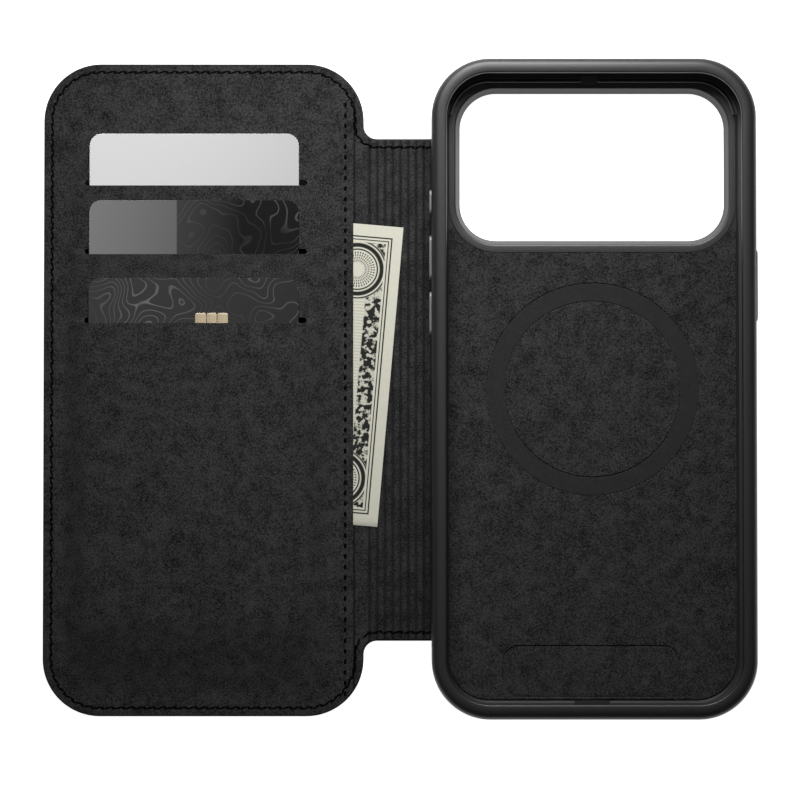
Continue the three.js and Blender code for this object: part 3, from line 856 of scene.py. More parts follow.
@dataclass(frozen=True)
class NodeRun:
    """A geometry node group that repeats a small shape along a line of points."""

    name: str
    pitch: float
    length: float
    radius: float
    slant: float = 0.0
    hole: float = 0.0
    rise: float = 0.28

    def build(self) -> bpy.types.NodeTree:
        """Make the group.

        Returns:
            The node group, with named inputs.
        """
        group = bpy.data.node_groups.new(self.name, "GeometryNodeTree")
        face = group.interface
        face.new_socket("Geometry", in_out="INPUT", socket_type="NodeSocketGeometry")
        for label, value in (("Pitch", self.pitch * MM), ("Length", self.length * MM), ("Radius", self.radius * MM),
                             ("Hole Radius", self.hole * MM), ("Rise", self.rise),
                             ("Slant", math.radians(self.slant))):
            face.new_socket(label, in_out="INPUT", socket_type="NodeSocketFloat").default_value = value
        face.new_socket("Material", in_out="INPUT", socket_type="NodeSocketMaterial")
        face.new_socket("Geometry", in_out="OUTPUT", socket_type="NodeSocketGeometry")
        tree = GroupNodes(group)
        source = tree.add("NodeGroupInput", {}).outputs
        curve = tree.add("GeometryNodeMeshToCurve", {0: source["Geometry"]})
        resample = tree.add("GeometryNodeResampleCurve", {}, mode="LENGTH")
        group.links.new(curve.outputs[0], resample.inputs["Curve"])
        group.links.new(source["Pitch"], resample.inputs["Length"])
        points = tree.add("GeometryNodeCurveToPoints", {0: resample.outputs[0]}, mode="EVALUATED").outputs
        align = tree.add("FunctionNodeAlignEulerToVector", {"Vector": points["Tangent"]}, axis="X", pivot_axis="Z")
        turn = tree.add("ShaderNodeCombineXYZ", {"Z": source["Slant"]})
        turned = tree.add("FunctionNodeRotateEuler", {"Rotation": align.outputs[0], "Rotate By": turn.outputs[0]},
                          space="LOCAL")
        stitch = tree.ball(6, tree.product(source["Length"], 0.5), source["Radius"],
                           tree.product(source["Radius"], source["Rise"]))
        joined = tree.add("GeometryNodeJoinGeometry",
                          {0: tree.instances(points[0], stitch, turned.outputs[0])})
        # The holes are flat discs in the thread's black: the thread's own black and painted shade in the stitch
        # holes.
        if self.hole > 0:
            radius = source["Hole Radius"]
            hole = tree.ball(5, radius, radius, tree.product(radius, HOLE_FLATNESS))
            half = tree.add("ShaderNodeVectorMath",
                            {0: points["Tangent"], "Scale": tree.product(source["Pitch"], 0.5)}, operation="SCALE")
            shifted = tree.add("GeometryNodeSetPosition", {"Geometry": points[0], "Offset": half.outputs[0]})
            group.links.new(tree.instances(shifted.outputs[0], hole, align.outputs[0]), joined.inputs[0])
        real = tree.add("GeometryNodeRealizeInstances", {0: joined.outputs[0]})
        paint = tree.add("GeometryNodeSetMaterial", {"Geometry": real.outputs[0], "Material": source["Material"]})
        tree.add("NodeGroupOutput", {0: paint.outputs[0]})
        return group

    def lay(self, name: str, paths: Sequence[Sequence[tuple[float, float, float]]],
            material: bpy.types.Material) -> bpy.types.Object:
        """Run the shape along paths.

        Args:
            name: The new object's name.
            paths: Lines of points in millimetres.
            material: What the shapes are made of.

        Returns:
            A plain object.
        """
        verts: list[tuple[float, float, float]] = []
        edges: list[tuple[int, int]] = []
        for path in paths:
            start = len(verts)
            verts.extend((x * MM, y * MM, z * MM) for x, y, z in path)
            edges.extend((i, i + 1) for i in range(start, len(verts) - 1))
        data = bpy.data.meshes.new(name + "_path")
        data.from_pydata(verts, edges, [])
        carrier = make_object(name + "_path", data)
        group = self.build()
        modifier = carrier.modifiers.new(self.name, "NODES")
        modifier.node_group = group
        for item in group.interface.items_tree:
            if item.item_type == "SOCKET" and item.in_out == "INPUT" and item.name == "Material":
                modifier[item.identifier] = material
        plain = settled(carrier, name)
        refine(plain)
        return plain


# The hole discs stand for the stitch holes: the thread's own black and painted shade in the holes.
STITCHES = NodeRun("perimeter_stitches", pitch=2.67, length=2.4, radius=0.27, slant=17.0, hole=0.46)
DOTS = NodeRun("hem_stitches", pitch=2.67, length=1.4, radius=0.4)
TEETH = NodeRun("button_knurl", pitch=1.2, length=2.7, radius=0.3, slant=90.0, rise=1.0)


# ---------------------------------------------------------------- helpers for leather sheets


def slice_columns(obj: bpy.types.Object, places: Iterable[float], axis: int = 0) -> None:
    """Cut a mesh's faces along straight lines, so that it can bend or be shaped there.

    Args:
        obj: The object.
        places: Where the lines are, in millimetres.
        axis: 0 for lines of constant X, 1 for constant Y.
    """
    work = bmesh.new()
    work.from_mesh(obj.data)
    normal = (1, 0, 0) if axis == 0 else (0, 1, 0)
    for place in places:
        point = (place * MM, 0, 0) if axis == 0 else (0, place * MM, 0)
        geometry = work.verts[:] + work.edges[:] + work.faces[:]
        bmesh.ops.bisect_plane(work, geom=geometry, plane_co=point, plane_no=normal, dist=1e-7)
    work.to_mesh(obj.data)
    work.free()


def shape_up(obj: bpy.types.Object, height: Callable[[float, float, float], float]) -> None:
    """Move every point to a new level given by a function of its place in millimetres."""
    for vert in obj.data.vertices:
        x, y, z = (c / MM for c in vert.co)
        vert.co.z = height(x, y, z) * MM
    obj.data.update()


def steps(start: float, end: float, pitch: float) -> list[float]:
    """Evenly spaced places from start to end."""
    count = max(1, round(abs(end - start) / pitch))
    return [start + (end - start) * i / count for i in range(count + 1)]


def cover_outline(inset: float, end: float = SPINE.split) -> list[Point2]:
    """The cover and its half of the spine, counter-clockwise from the spine's lower end.

    Args:
        inset: How far in from the edge.
        end: Where the spine's half stops.

    Returns:
        The outline's points.
    """
    size, spine = COVER, SPINE
    fillet_x = size.right + size.fillet
    low = (fillet_x, -spine.half_y - size.fillet)
    high = (fillet_x, spine.half_y + size.fillet)
    corner = size.corner - inset
    right, left = size.right - size.corner, size.left + size.corner
    up, down = size.half_y - size.corner, -size.half_y + size.corner
    points = [(end, -spine.half_y + inset), (end, spine.half_y - inset)]
    points += arc(high, size.fillet + inset, 270, 180, 10)
    points += arc((right, up), corner, 0, 90, 20)
    points += arc((left, up), corner, 90, 180, 20)
    points += arc((left, down), corner, 180, 270, 20)
    points += arc((right, down), corner, 270, 360, 20)
    points += arc(low, size.fillet + inset, 180, 90, 10)
    return points


def tray_outline(inset: float) -> list[Point2]:
    """The leather back and its half of the spine, counter-clockwise."""
    half_x, half_y, corner = 38.4 - inset, 81.3 - inset, 11.9 - inset
    end, edge = SPINE.split, SPINE.half_y - inset
    points = arc((half_x - corner, -half_y + corner), corner, 270, 360, 16)
    points += arc((half_x - corner, half_y - corner), corner, 0, 90, 16)
    points += arc((-half_x + corner, half_y - corner), corner, 90, 180, 16)
    points += [(-half_x, edge), (end, edge), (end, -edge), (-half_x, -edge)]
    points += arc((-half_x + corner, -half_y + corner), corner, 180, 270, 16)
    return points


def groove(x: float) -> float:
    """How deep the spine's ribs are cut at a place across it."""
    spine = SPINE
    nearest = min(range(spine.grooves), key=lambda i: abs(x - (spine.first_hinge - i * spine.pitch)))
    away = abs(x - (spine.first_hinge - nearest * spine.pitch))
    share = max(0.0, 1 - away / (spine.groove_half + 0.2))
    return spine.groove_depth * share * share


def groove_columns(start: float, end: float) -> list[float]:
    """The columns that carry the grooves' shape between two places."""
    places = []
    for i in range(SPINE.grooves):
        middle = SPINE.first_hinge - i * SPINE.pitch
        places += [middle + shift for shift in (-0.62, -0.42, -0.25, -0.12, 0, 0.12, 0.25, 0.42, 0.62, 1.0)]
    return [x for x in places if min(start, end) < x < max(start, end)]


# ---------------------------------------------------------------- the phone side


@dataclass
class Bumper:
    """The moulded rubber wall round the phone, with its lip, port, speaker slots and button bays."""

    size: CaseSize = CASE
    ridge_level: float = 2.85
    steps: int = 24

    def profile(self) -> list[Point2]:
        """The wall's closed section as pairs of inset and level."""
        outer = [(3 + 3 * math.cos(math.radians(a)), 3 + 3 * math.sin(math.radians(a)))
                 for a in range(270, 179, -10)]
        shoulder = [(2.1 + 2.1 * math.cos(math.radians(a)), 9.88 + 1.9 * math.sin(math.radians(a)))
                    for a in range(180, 89, -10)]
        lip = [(2.3, 11.8), (3.5, 11.8), (3.62, 11.76), (3.85, 11.45), (3.9, 11.2), (3.9, 10.95), (3.75, 10.85)]
        inner = [(2.5, 10.85), (2.4, 10.7), (2.4, 3.3), (2.5, 3.0), (3.1, 2.75), (3.85, 2.7), (4.4, 2.1),
                 (4.4, 1.82), (3.0, 1.82)]
        return outer + shoulder + lip + inner

    def outline(self, inset: float) -> list[Point2]:
        """The case's outline, drawn in."""
        size = self.size
        return rounded_rect(size.half_x - inset, size.half_y - inset, size.corner - inset, steps=self.steps)

    def build(self) -> bpy.types.Object:
        """Sweep the wall and cut its openings."""
        solid = Solid()
        solid.swept(self.outline, self.profile())
        wall = solid.object("bumper_wall")
        size = self.size
        cutters = [slot_cutter("port_cut", (0, -size.half_y, size.mid), 8.8, 4.6, 8, False)]
        for side in (-1, 1):
            cutters.append(slot_cutter("speaker_cut", (side * 17.5, -size.half_y, size.mid), 11, 2.2, 8, False))
        for low, high in ((44.55, 51.05), (27.7, 39.3), (13.45, 24.95)):
            centre = (-size.half_x, (low + high) / 2, size.mid)
            cutters.append(slot_cutter("bay_cut", centre, high - low, 3.3, 8, True))
        cutters.append(slot_cutter("bay_cut", (size.half_x, 26.35, size.mid), 18.6, 3.3, 8, True))
        cutters.append(self.block("spine_recess", (-37.4, -43.0, -64.9, 64.9), (-1.0, 1.35)))
        cutters.append(self.block("port_notch", (4.4, -4.8, -81.6, -79.0), (2.15, 3.5)))
        return cut(wall, cutters, "bumper_shell")

    @staticmethod
    def block(name: str, place: tuple[float, float, float, float], levels: Point2) -> bpy.types.Object:
        """A plain block for cutting.

        Args:
            name: The block's name.
            place: Its right, left, lower and upper sides.
            levels: Its bottom and top.

        Returns:
            The cutter.
        """
        right, left, low, high = place
        solid = Solid()
        box = [(right, low), (right, high), (left, high), (left, low)]
        solid.lofted(lambda inset: box, [(0, levels[0]), (0, levels[1])])
        return solid.object(name)

    def ridges(self) -> bpy.types.Object:
        """The two thin ridges that run round the inside of the tray's top end, and their middle plate."""
        solid = Solid()
        base = CASE.lining_top - 0.2
        for inset, width in ((3.95, 0.55), (4.8, 0.5)):
            section = [(inset, base), (inset, self.ridge_level), (inset + 0.1, self.ridge_level + 0.12),
                       (inset + width - 0.1, self.ridge_level + 0.12), (inset + width, self.ridge_level),
                       (inset + width, base)]
            solid.swept(self.top_path, section, closed=False)
        plate = [(-3.0, 79.6), (-2.3, 78.5), (0.8, 78.5), (1.5, 79.6), (0.8, 80.7), (-2.3, 80.7)]
        solid.lofted(lambda inset: offset_loop(plate, -inset), [(0, base), (0, 3.05), (0.15, 3.2)])
        return solid.object("tray_ridges")

    def top_path(self, inset: float) -> list[Point2]:
        """The tray's top end, from its right corner to its left."""
        size = self.size
        corner = size.corner - inset
        middle = (size.half_x - size.corner, size.half_y - size.corner)
        return arc(middle, corner, 8, 90, 20) + arc((-middle[0], middle[1]), corner, 90, 172, 20)

    def dress(self) -> None:
        """Put the wall and its ridges in place."""
        dress(self.build(), RUBBER, Body.PHONE_SIDE, ["bumper"])
        # The ridges take the lighter copy of the rubber, as painted light.
        dress(self.ridges(), RIDGE_RUBBER_PAINTED_LIGHT, Body.PHONE_SIDE)


@dataclass
class CameraFrame:
    """The rim round the camera window and the flange that holds it in the tray."""

    size: CaseSize = CASE

    def window(self, inset: float) -> list[Point2]:
        """The window's outline, drawn in, or out for a negative inset."""
        size = self.size
        return rounded_rect(size.window_half_x - inset, size.window_half_y - inset, size.window_corner - inset,
                            (0, size.window_centre), 20)

    def flange(self, inset: float) -> list[Point2]:
        """The flange's outline inside the tray's floor."""
        size = self.size
        half_y = (size.lining_half_y - size.frame_low) / 2 - inset
        centre = (size.lining_half_y + size.frame_low) / 2
        return rounded_rect(size.lining_half_x - inset, half_y, 12.4 - inset, (0, centre), 20)

    def build(self) -> bpy.types.Object:
        """Sweep the rim and lay the flange."""
        solid = Solid()
        rim = [(0, -0.65), (0.15, -0.8), (1.95, -0.8), (2.1, -0.65), (2.1, 1.78), (2.6, 1.8), (2.6, 2.1),
               (1.6, 2.1), (1.3, 2.07), (1.1, 1.9), (0.85, 1.2), (0.1, -0.1), (0, -0.3)]
        solid.swept(lambda inset: self.window(inset), [(-grow, level) for grow, level in rim])
        low, high = 1.82, 2.08
        outer = [solid.loop(self.flange(i), z) for i, z in ((0, low), (0, high - 0.08), (0.08, high))]
        hole = [solid.loop(self.window(-1.9), z) for z in (low, high)]
        solid.walls(outer)
        solid.walls(hole)
        solid.cap(outer[0], [hole[0]])
        solid.cap(outer[2], [hole[1]])
        return solid.object("camera_rim")

    def dress(self) -> None:
        """Put the rim in place."""
        dress(self.build(), RUBBER, Body.PHONE_SIDE, ["camera_frame"])


@dataclass
class BackLining:
    """The tray's microfibre floor, with its sunken magnet ring and tag patch."""

    size: CaseSize = CASE
    arc_centre: Point2 = (24.6, 47.7)
    arc_radius: float = 12.5
    top: float = 35.2
    ring_outer: float = 27.35
    ring_inner: float = 22.65
    patch_half: Point2 = (22.8, 6.8)
    patch_corner: float = 4.3
    patch_centre: Point2 = (-0.5, -72.5)
    bottom: float = 1.82

    def outline(self, inset: float) -> list[Point2]:
        """The lining's outline, which curves up beside the camera window."""
        size = self.size
        half_x, half_y, corner = size.lining_half_x, size.lining_half_y, size.lining_corner
        points = arc((half_x - corner, -half_y + corner), corner, 270, 360, 16)
        points += [(half_x, 0.0), (half_x, 40.7)]
        tip = arc((36.3, 40.9), 0.7, 0, 130, 6)
        points += tip
        points += arc(self.arc_centre, self.arc_radius, -33, -90, 18)
        points += arc((-self.arc_centre[0], self.arc_centre[1]), self.arc_radius, -90, -147, 18)
        points += [(-x, y) for x, y in reversed(tip)]
        points += [(-half_x, 40.7), (-half_x, 0.0)]
        points += arc((-half_x + corner, -half_y + corner), corner, 180, 270, 16)
        return offset_loop(points, inset) if inset else points

    def circle(self, radius: float) -> list[Point2]:
        """A circle about the magnet ring's centre."""
        return arc((0, 0), radius, 0, 360, 96)[:-1]

    def patch(self, inset: float) -> list[Point2]:
        """The tag patch's outline, drawn in."""
        half_x, half_y = self.patch_half
        return rounded_rect(half_x - inset, half_y - inset, self.patch_corner - inset, self.patch_centre, 12)

    def floor(self) -> bpy.types.Object:
        """The lining outside the ring."""
        solid = Solid()
        top = self.size.lining_top
        outer = [solid.loop(self.outline(i), z) for i, z in ((0, self.bottom), (0, top - 0.1), (0.05, top - 0.04),
                                                             (0.13, top), (0.2, top))]
        ring = [solid.loop(self.circle(self.ring_outer + g), z)
                for g, z in ((0.3, top), (0.22, top), (0.08, top - 0.06), (0, top - 0.14), (0, self.bottom))]
        patch = [solid.loop(self.patch(i), z)
                 for i, z in ((-0.08, top), (0, top), (0.1, top - 0.1), (0.2, top - 0.24), (0.5, top - 0.2),
                              (0.9, top - 0.12), (1.1, top - 0.12))]
        for loops in (outer, ring, patch):
            solid.walls(loops)
        solid.cap(outer[-1], [ring[0], patch[0]])
        solid.cap(patch[-1])
        solid.cap(outer[0], [ring[-1]])
        return solid.object("tray_lining")

    def centre(self) -> bpy.types.Object:
        """The lining's disc inside the ring."""
        solid = Solid()
        top = self.size.lining_top
        radius = self.ring_inner - 0.05
        solid.lofted(lambda inset: self.circle(radius - inset),
                     [(0, self.bottom), (0, top - 0.14), (0.08, top - 0.06), (0.22, top), (0.3, top)])
        return solid.object("lining_disc")

    def pad(self) -> bpy.types.Object:
        """The ring pad, a little below the lining."""
        solid = Solid()
        top = self.size.lining_top - 0.1
        wide, narrow = 27.28, 22.72
        loops = [(wide, self.bottom), (wide, top - 0.08), (27.1, top), (27.0, top), (23.0, top), (22.9, top),
                 (narrow, top - 0.08), (narrow, self.bottom)]
        rings = [solid.loop(self.circle(radius), z) for radius, z in loops]
        solid.walls(rings + rings[:1])
        return solid.object("ring_pad")

    def dress(self) -> None:
        """Put the lining's three pieces in place. They are glued to the shell."""
        body = Body.PHONE_SIDE
        dress(self.floor(), MICROFIBRE, body, ["back_lining"])
        dress(self.centre(), MICROFIBRE, body)
        dress(self.pad(), RING_CLOTH, body, ["magnet_ring_pad"])


@dataclass
class Buttons:
    """The four metal buttons in their bays."""

    size: CaseSize = CASE
    height: float = 3.0

    def bar(self, name: str, low: float, high: float, side: int) -> bpy.types.Object:
        """A round-ended bar with a crowned face.

        Args:
            name: The bar's name.
            low: Its lower end along the case.
            high: Its upper end.
            side: 1 for the free side and -1 for the spine's side.

        Returns:
            The bar.
        """
        solid = Solid()
        half, tall = (high - low) / 2, self.height / 2
        solid.lofted(lambda inset: rounded_rect(half - inset, tall - inset, tall - inset - 0.01, steps=10),
                     [(0.1, 0), (0, 0.1), (0, 2.25), (0.06, 2.42), (0.18, 2.52), (0.4, 2.55)])
        data = solid.mesh(name)
        turn = Matrix.Rotation(math.pi / 2, 4, "Z") @ Matrix.Rotation(math.pi / 2, 4, "X")
        data.transform(turn)
        if side < 0:
            data.transform(Matrix.Rotation(math.pi, 4, "Z"))
        shift = Vector((side * (self.size.half_x - 2.0), (low + high) / 2, self.size.mid)) * MM
        data.transform(Matrix.Translation(shift))
        return make_object(name, data)

    def knurl(self) -> bpy.types.Object:
        """The ridges on the free side's button."""
        teeth = TEETH.lay("side_button_ridges", [[(0, -7.9, 0), (0, 7.9, 0)]], PALETTE.get(DARK_METAL))
        teeth.data.transform(Matrix.Rotation(math.pi / 2, 4, "Y"))
        teeth.data.transform(Matrix.Translation(Vector((41.85, 26.35, self.size.mid)) * MM))
        return teeth

    def dress(self) -> None:
        """Put every button in place."""
        rows = (("action_button", 44.7, 50.9, -1), ("volume_up_button", 27.85, 39.15, -1),
                ("volume_down_button", 13.6, 24.8, -1), ("side_button", 17.2, 35.5, 1))
        for name, low, high, side in rows:
            # The buttons on the spine's side take the light grey copy, a painted highlight.
            finish = PAINTED_HIGHLIGHT_METAL if side < 0 else DARK_METAL
            dress(self.bar(name + "_cap", low, high, side), finish, name, [name])
        dress(self.knurl(), DARK_METAL, "side_button")


# ---------------------------------------------------------------- the leather and the spine


@dataclass
class PhoneLeather:
    """The leather back with the phone side's half of the spine, and the lining of that half."""

    spine: SpineSize = SPINE
    lining_inset: float = 0.35
    lining_end: float = -38.2
    seam_y: float = 62.5
    seam_end: float = -42.0

    def window(self, inset: float) -> list[Point2]:
        """The camera window's hole in the leather."""
        return CameraFrame().window(-2.15 - inset)

    def leather(self) -> bpy.types.Object:
        """The leather sheet."""
        solid = Solid()
        levels = ((0.22, 0.0), (0.06, 0.07), (0.0, 0.25), (0.0, 0.6), (0.0, 0.8))
        outer = [solid.loop(tray_outline(i), z) for i, z in levels]
        hole = [solid.loop(self.window(i), z) for i, z in ((0.15, 0.0), (0.0, 0.12), (0.0, 0.8))]
        for loops in (outer, hole):
            solid.walls(loops)
        solid.cap(outer[0], [hole[0]])
        solid.cap(outer[-1], [hole[-1]])
        sheet = solid.object("phone_leather")
        slice_columns(sheet, steps(-39.0, self.spine.split + 0.3, 0.4))
        refine(sheet)
        return sheet

    def lining(self) -> bpy.types.Object:
        """The ribbed lining from the tray's wall to the middle of the spine."""
        edge, near, far = self.spine.half_y - self.lining_inset, self.spine.split, self.lining_end

        def outline(inset: float) -> list[Point2]:
            return [(near, -edge + inset), (far, -edge + inset), (far, edge - inset), (near, edge - inset)]

        return ribbed("spine_lining_phone", outline, far)

    def stitching(self) -> bpy.types.Object:
        """The stitches along this half's two ends."""
        top = self.spine.thickness
        rows = [[(self.spine.split, side * self.seam_y, top), (self.seam_end, side * self.seam_y, top)]
                for side in (1, -1)]
        return STITCHES.lay("spine_stitches_phone", rows, PALETTE.get(THREAD))

    def dress(self) -> None:
        """Put the leather, lining and stitches in place, with their placement baked into their meshes and no body.
        """
        leather = dress(self.leather(), BLACK_LEATHER, None, ["back_leather"])
        lining = dress(self.lining(), SPINE_CLOTH, None, ["spine_panel"])
        stitches = dress(self.stitching(), THREAD, None)
        for piece in (leather, lining, stitches):
            bend(piece)


def ribbed(name: str, outline: Callable[[float], Sequence[Point2]], far: float) -> bpy.types.Object:
    """A lining sheet with the spine's grooves pressed in.

    Args:
        name: The object's name.
        outline: The sheet's outline, drawn in by an inset.
        far: The sheet's end away from the middle of the spine.

    Returns:
        The lining.
    """
    base, top = SPINE.leather + 0.01, SPINE.thickness
    solid = Solid()
    solid.lofted(outline, [(0, base), (0, top - 0.12), (0.1, top - 0.03), (0.25, top)])
    sheet = solid.object(name)
    slice_columns(sheet, groove_columns(SPINE.split, far) + steps(-60.9, -57.9, 0.5) + steps(-43.0, -40.0, 0.5))
    span = top - base
    shape_up(sheet, lambda x, y, z: z - groove(x) * max(0.0, (z - base) / span) * 0.85)
    refine(sheet)
    return sheet


@dataclass
class Cover:
    """The cover: its leather, base lining, card panel, stitches, cards and note."""

    size: CoverSize = COVER
    spine: SpineSize = SPINE
    ramp: float = 7.2
    foot: float = 23.0
    seam_inset: float = 2.2
    seam_step: float = 0.8
    hem_x: float = -63.64
    hem_ends: Point2 = (73.4, -78.2)
    contacts: tuple[Point2, ...] = ((-102.15, -99.35), (-99.2, -96.6), (-96.45, -93.75))
    contact_y: float = 15.75
    contact_half_y: float = 3.75
    note_levels: Point2 = (1.207, 1.33)

    def leather(self) -> bpy.types.Object:
        """The cover's leather with its half of the spine."""
        solid = Solid()
        solid.lofted(cover_outline, [(0.25, 0.0), (0.07, 0.07), (0.0, 0.25), (0.0, 0.6), (0.0, 0.8)])
        sheet = solid.object("cover_leather_sheet")
        slice_columns(sheet, steps(self.spine.split - 0.3, -62.0, 0.4))
        refine(sheet)
        return sheet

    def lining(self) -> bpy.types.Object:
        """The base lining, ribbed over the spine."""
        return ribbed("spine_lining_cover", lambda inset: cover_outline(0.35 + inset), self.size.left)

    def level(self, x: float, y: float) -> float:
        """The card panel's height over the cards in it."""
        size = self.size
        across = 1 - smoothstep((abs(x - size.slit_centre) - 27.3) / self.ramp)
        along = 0.0
        for slit in size.slits:
            along += smoothstep((slit + size.slit_height - y) / size.slit_height)
        tail = smoothstep((y - (size.card_ends[2] - self.foot)) / self.foot)
        return size.panel_top + size.layer * across * along * tail

    def panel_outline(self, inset: float) -> list[Point2]:
        """The card panel's outline, straight on the spine's side."""
        size = self.size
        corner = size.corner - size.panel_inset - inset
        left = size.left + size.panel_inset + inset
        half_y = size.half_y - size.panel_inset - inset
        right = size.panel_right - inset
        turn = math.degrees(math.acos((right - (size.right - size.corner)) / corner)) if corner > 0 else 0
        points = arc((size.right - size.corner, half_y - corner), corner, turn, 90, 16)
        points += arc((left + corner, half_y - corner), corner, 90, 180, 20)
        points += arc((left + corner, -half_y + corner), corner, 180, 270, 20)
        points += arc((size.right - size.corner, -half_y + corner), corner, 270, 360 - turn, 16)
        return points

    def panel(self) -> bpy.types.Object:
        """The card panel's sheet with its three slits."""
        size = self.size
        solid = Solid()
        rims = []
        for slit in size.slits:
            centre = (size.slit_centre, slit + size.slit_height / 2)
            half = size.slit_height / 2
            outline = rounded_rect(size.slit_half, half, half - 0.01, centre, 8, straight=30)
            rims.append(solid.loop(reversed(outline), size.panel_top))
        edge = solid.loop(self.panel_outline(0.0), size.panel_top)
        solid.cap(edge, rims)
        sheet = solid.object("card_panel_sheet")
        middle = size.slit_centre
        columns = [middle + side * away for side in (-1, 1) for away in steps(27.3, 34.5, 0.6)]
        columns += [middle + side * away for side in (-1, 1) for away in steps(0, 27.0, 4.5)[1:]] + [middle]
        rows = [slit + shift for slit in size.slits for shift in steps(-0.6, 2.2, 0.28)]
        rows += steps(size.card_ends[2] - self.foot, size.card_ends[2], 1.5) + steps(-55, 12, 6.0) + [62.0, 72.0]
        slice_columns(sheet, columns)
        slice_columns(sheet, rows, axis=1)
        for polygon in sheet.data.polygons:
            if polygon.normal.z < 0:
                polygon.flip()
        shape_up(sheet, lambda x, y, z: self.level(x, y))
        thick = sheet.modifiers.new("thickness", "SOLIDIFY")
        thick.thickness = 0.19 * MM
        thick.offset = -1
        plain = settled(sheet, "card_panel_face")
        refine(plain)
        return plain

    def stitching(self) -> bpy.types.Object:
        """The stitches round the cover's edge and along the spine's ends."""
        size = self.size
        path = cover_outline(self.seam_inset)
        path = path[1:] + path[:1]
        edge = size.panel_right + self.seam_step
        line = [(x, y, size.panel_top if x < edge else self.spine.thickness) for x, y in path]
        return STITCHES.lay("perimeter_stitches", [line], PALETTE.get(THREAD))

    def hem(self) -> bpy.types.Object:
        """The row of stitches along the card panel's edge."""
        line = [(self.hem_x, y, self.size.panel_top) for y in self.hem_ends]
        return DOTS.lay("hem_stitches", [line], PALETTE.get(THREAD))

    def painted_pocket_shade(self) -> bpy.types.Object:
        """The pocket lining behind the card slits, made near-black as painted shade inside the pockets."""
        size = self.size
        low = size.card_ends[2] - 2.0
        high = size.slits[0] + 4.0
        centre = (size.slit_centre, (low + high) / 2)
        solid = Solid()
        solid.lofted(lambda inset: rounded_rect(31.0, (high - low) / 2, 2.0, centre, 6), [(0, 1.47), (0, 1.5)])
        return solid.object("pocket_shade_sheet")

    def card(self, index: int) -> bpy.types.Object:
        """One card with softened edges."""
        size = self.size
        base = size.panel_top + 0.1 + index * size.layer
        centre = (size.card_centre, size.card_tops[index] - size.card_length / 2)
        top = size.panel_top + 0.02 + index * size.layer + size.card_thickness
        solid = Solid()
        solid.lofted(lambda inset: rounded_rect(size.card_half_x - inset, size.card_length / 2 - inset,
                                                size.card_corner - inset, centre, 12),
                     [(0.12, base), (0.0, base + 0.12), (0.0, top - 0.12), (0.12, top)])
        name = f"card_{index + 1:02d}_plate"
        return solid.object(name)

    def chip(self) -> list[bpy.types.Object]:
        """The gold contacts on the lowest card, just above its slit."""
        level = self.size.panel_top + 0.02 + 2 * self.size.layer + self.size.card_thickness
        pads = []
        for index, (left, right) in enumerate(self.contacts):
            solid = Solid()
            centre, half = ((left + right) / 2, self.contact_y), (right - left) / 2
            solid.lofted(lambda inset: rounded_rect(half - inset, self.contact_half_y - inset, 0.5, centre, 6),
                         [(0, level - 0.05), (0, level + 0.02), (0.05, level + 0.05)])
            pads.append(solid.object(f"card_contact_{index + 1}"))
        return pads

    def note(self) -> bpy.types.Object:
        """The note, folded once, so that its two leaves meet at the lower end."""
        print_size = NOTE_FACE
        half_x, half_y = print_size.half
        low, high = self.note_levels
        section = [(half_y, high)] + [(y, high) for y in steps(half_y, -half_y + 0.1, 1.6)[1:]]
        section += [(-half_y, (low + high) / 2), (-half_y + 0.1, low)]
        section += [(y, low) for y in steps(-half_y + 0.1, half_y - 0.5, 1.6)[1:]]
        section += [(half_y - 0.5, low + 0.05), (-half_y + 0.3, low + 0.05), (-half_y + 0.3, high - 0.05),
                    (half_y, high - 0.05)]
        solid = Solid()
        rows = []
        for x in steps(-half_x, half_x, 0.8):
            start = len(solid.verts)
            solid.verts.extend((x, y, z) for y, z in section)
            rows.append(list(range(start, len(solid.verts))))
        solid.walls(rows)
        solid.faces.append(tuple(rows[0]))
        solid.faces.append(tuple(reversed(rows[-1])))
        data = solid.mesh("folded_note_leaves")
        data.transform(Matrix.Translation(Vector((*print_size.centre, 0)) * MM)
                       @ Matrix.Rotation(math.radians(print_size.tilt), 4, "Z"))
        return make_object("folded_note_leaves", data)

    def dress(self) -> None:
        """Put everything on the cover in place."""
        leather = dress(self.leather(), BLACK_LEATHER, None, ["cover_leather"])
        lining = dress(self.lining(), SPINE_CLOTH, None, ["cash_pocket_lining"])
        stitches = dress(self.stitching(), THREAD, None)
        note = dress(self.note(), NOTE_FACE, None, ["folded_note"])
        for piece in (leather, lining, stitches, note):
            bend(piece)
        pockets = ["card_panel", "card_pocket_01", "card_pocket_02", "card_pocket_03"]
        dress(self.panel(), POCKET_CLOTH, Body.COVER, pockets)
        # The pocket lining behind the slits is painted shade.
        dress(self.painted_pocket_shade(), POCKET_SHADE_CLOTH, Body.COVER)
        dress(self.hem(), THREAD, Body.COVER)
        faces = ((PALE_FACE, Slot.PALE_CARD), (GREY_FACE, Slot.GREY_CARD), (DARK_FACE, Slot.DARK_CARD))
        for index, (face, slot) in enumerate(faces):
            name = f"card_{index + 1:02d}"
            dress(self.card(index), face, name, [name])
        for pad in self.chip():
            dress(pad, GOLD, "card_03")


# ---------------------------------------------------------------- carried-over pieces and the studio


@dataclass
class HiddenParts:
    """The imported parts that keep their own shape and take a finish."""

    finishes: dict[str, Finish] = field(default_factory=lambda: {
        "back_shell": PLASTIC, "nfc_tag": FILM, "cover_board": FIBRE_BOARD})

    def dress(self) -> None:
        """Give each part its finish."""
        for name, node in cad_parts.items():
            finish = STEEL if name.startswith("magnet_") and name[-1].isdigit() else self.finishes.get(name)
            if finish is None:
                continue
            node.data.materials.clear()
            node.data.materials.append(PALETTE.get(finish))
            LOG.info("%s: %s", name, finish.name)


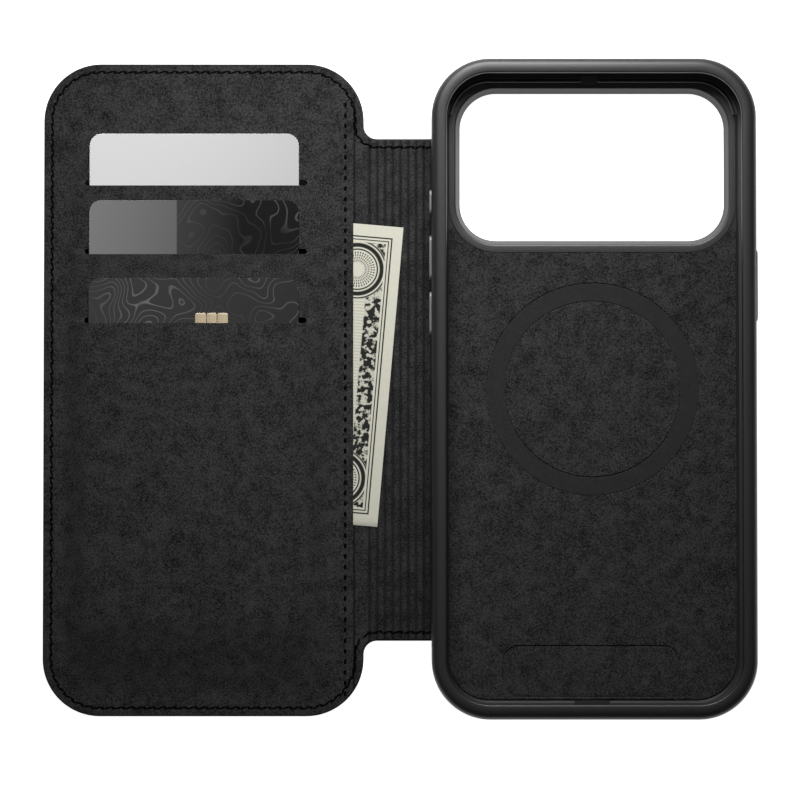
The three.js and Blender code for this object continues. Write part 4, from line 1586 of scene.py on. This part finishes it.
@dataclass
class Studio:
    """The pale floor, the soft lights and the camera."""

    target: tuple[float, float, float] = (-49.55, -2.93, 6.0)
    distance: float = 900.0
    tilt: float = 1.9
    lens: float = 158.1
    floor_level: float = -0.85
    floor_half: float = 3.0
    world_strength: float = 0.015
    aim: tuple[float, float, float] = (-0.05, 0.0, 0.0)

    def floor(self) -> None:
        """A plain pale floor."""
        data = bpy.data.meshes.new("floor")
        half = self.floor_half
        level = self.floor_level * MM
        data.from_pydata([(-half, -half, level), (half, -half, level), (half, half, level), (-half, half, level)],
                         [], [(0, 1, 2, 3)])
        floor = make_object("floor", data)
        n = Nodes("pale_floor")
        n.set(Base_Color=(0.9, 0.9, 0.9), Roughness=0.9, Specular_IOR_Level=0.0,
              Emission_Color=(1.0, 1.0, 1.0), Emission_Strength=1.0)
        data.materials.append(n.material)

    def camera(self) -> None:
        """The camera, nearly straight above."""
        data = bpy.data.cameras.new("camera")
        data.lens = self.lens
        data.sensor_width = 36
        data.clip_end = 20
        lens = bpy.data.objects.new("camera", data)
        bpy.context.scene.collection.objects.link(lens)
        tilt = math.radians(self.tilt)
        offset = Vector((0, -math.sin(tilt), math.cos(tilt))) * self.distance
        lens.location = (Vector(self.target) + offset) * MM
        lens.rotation_euler = (tilt, 0, 0)
        bpy.context.scene.camera = lens

    def light(self, name: str, place: tuple[float, float, float], size: float, power: float, spread: float) -> None:
        """A square soft light that faces the case.

        Args:
            name: The light's name.
            place: Where it is, in metres.
            size: Its side, in metres.
            power: Its power in watts.
            spread: How wide it shines, in degrees.
        """
        data = bpy.data.lights.new(name, "AREA")
        data.spread = math.radians(spread)
        data.size = size
        data.energy = power
        lamp = bpy.data.objects.new(name, data)
        bpy.context.scene.collection.objects.link(lamp)
        lamp.location = place
        aim = Vector(self.aim) - Vector(place)
        lamp.rotation_euler = aim.to_track_quat("-Z", "Y").to_euler()

    def build(self) -> None:
        """Set everything up."""
        self.camera()
        self.floor()
        self.light("key", (-0.045, 0.225, 0.2), 0.16, 0.42, 100)
        self.light("fill", (-0.05, 0.1, 1.3), 0.8, 0.38, 180)
        world = bpy.data.worlds.new("studio")
        world.use_nodes = True
        background = world.node_tree.nodes["Background"].inputs
        background[0].default_value = (1, 1, 1, 1)
        background[1].default_value = self.world_strength
        bpy.context.scene.world = world
        bpy.context.scene.view_settings.view_transform = "Standard"


def main() -> None:
    """Build every sub-assembly in order."""
    Studio().build()
    assemblies = (Bumper(), CameraFrame(), BackLining(), Buttons(), PhoneLeather(), Cover(), HiddenParts())
    for assembly in assemblies:
        assembly.dress()


if __name__ == "__main__":
    main()
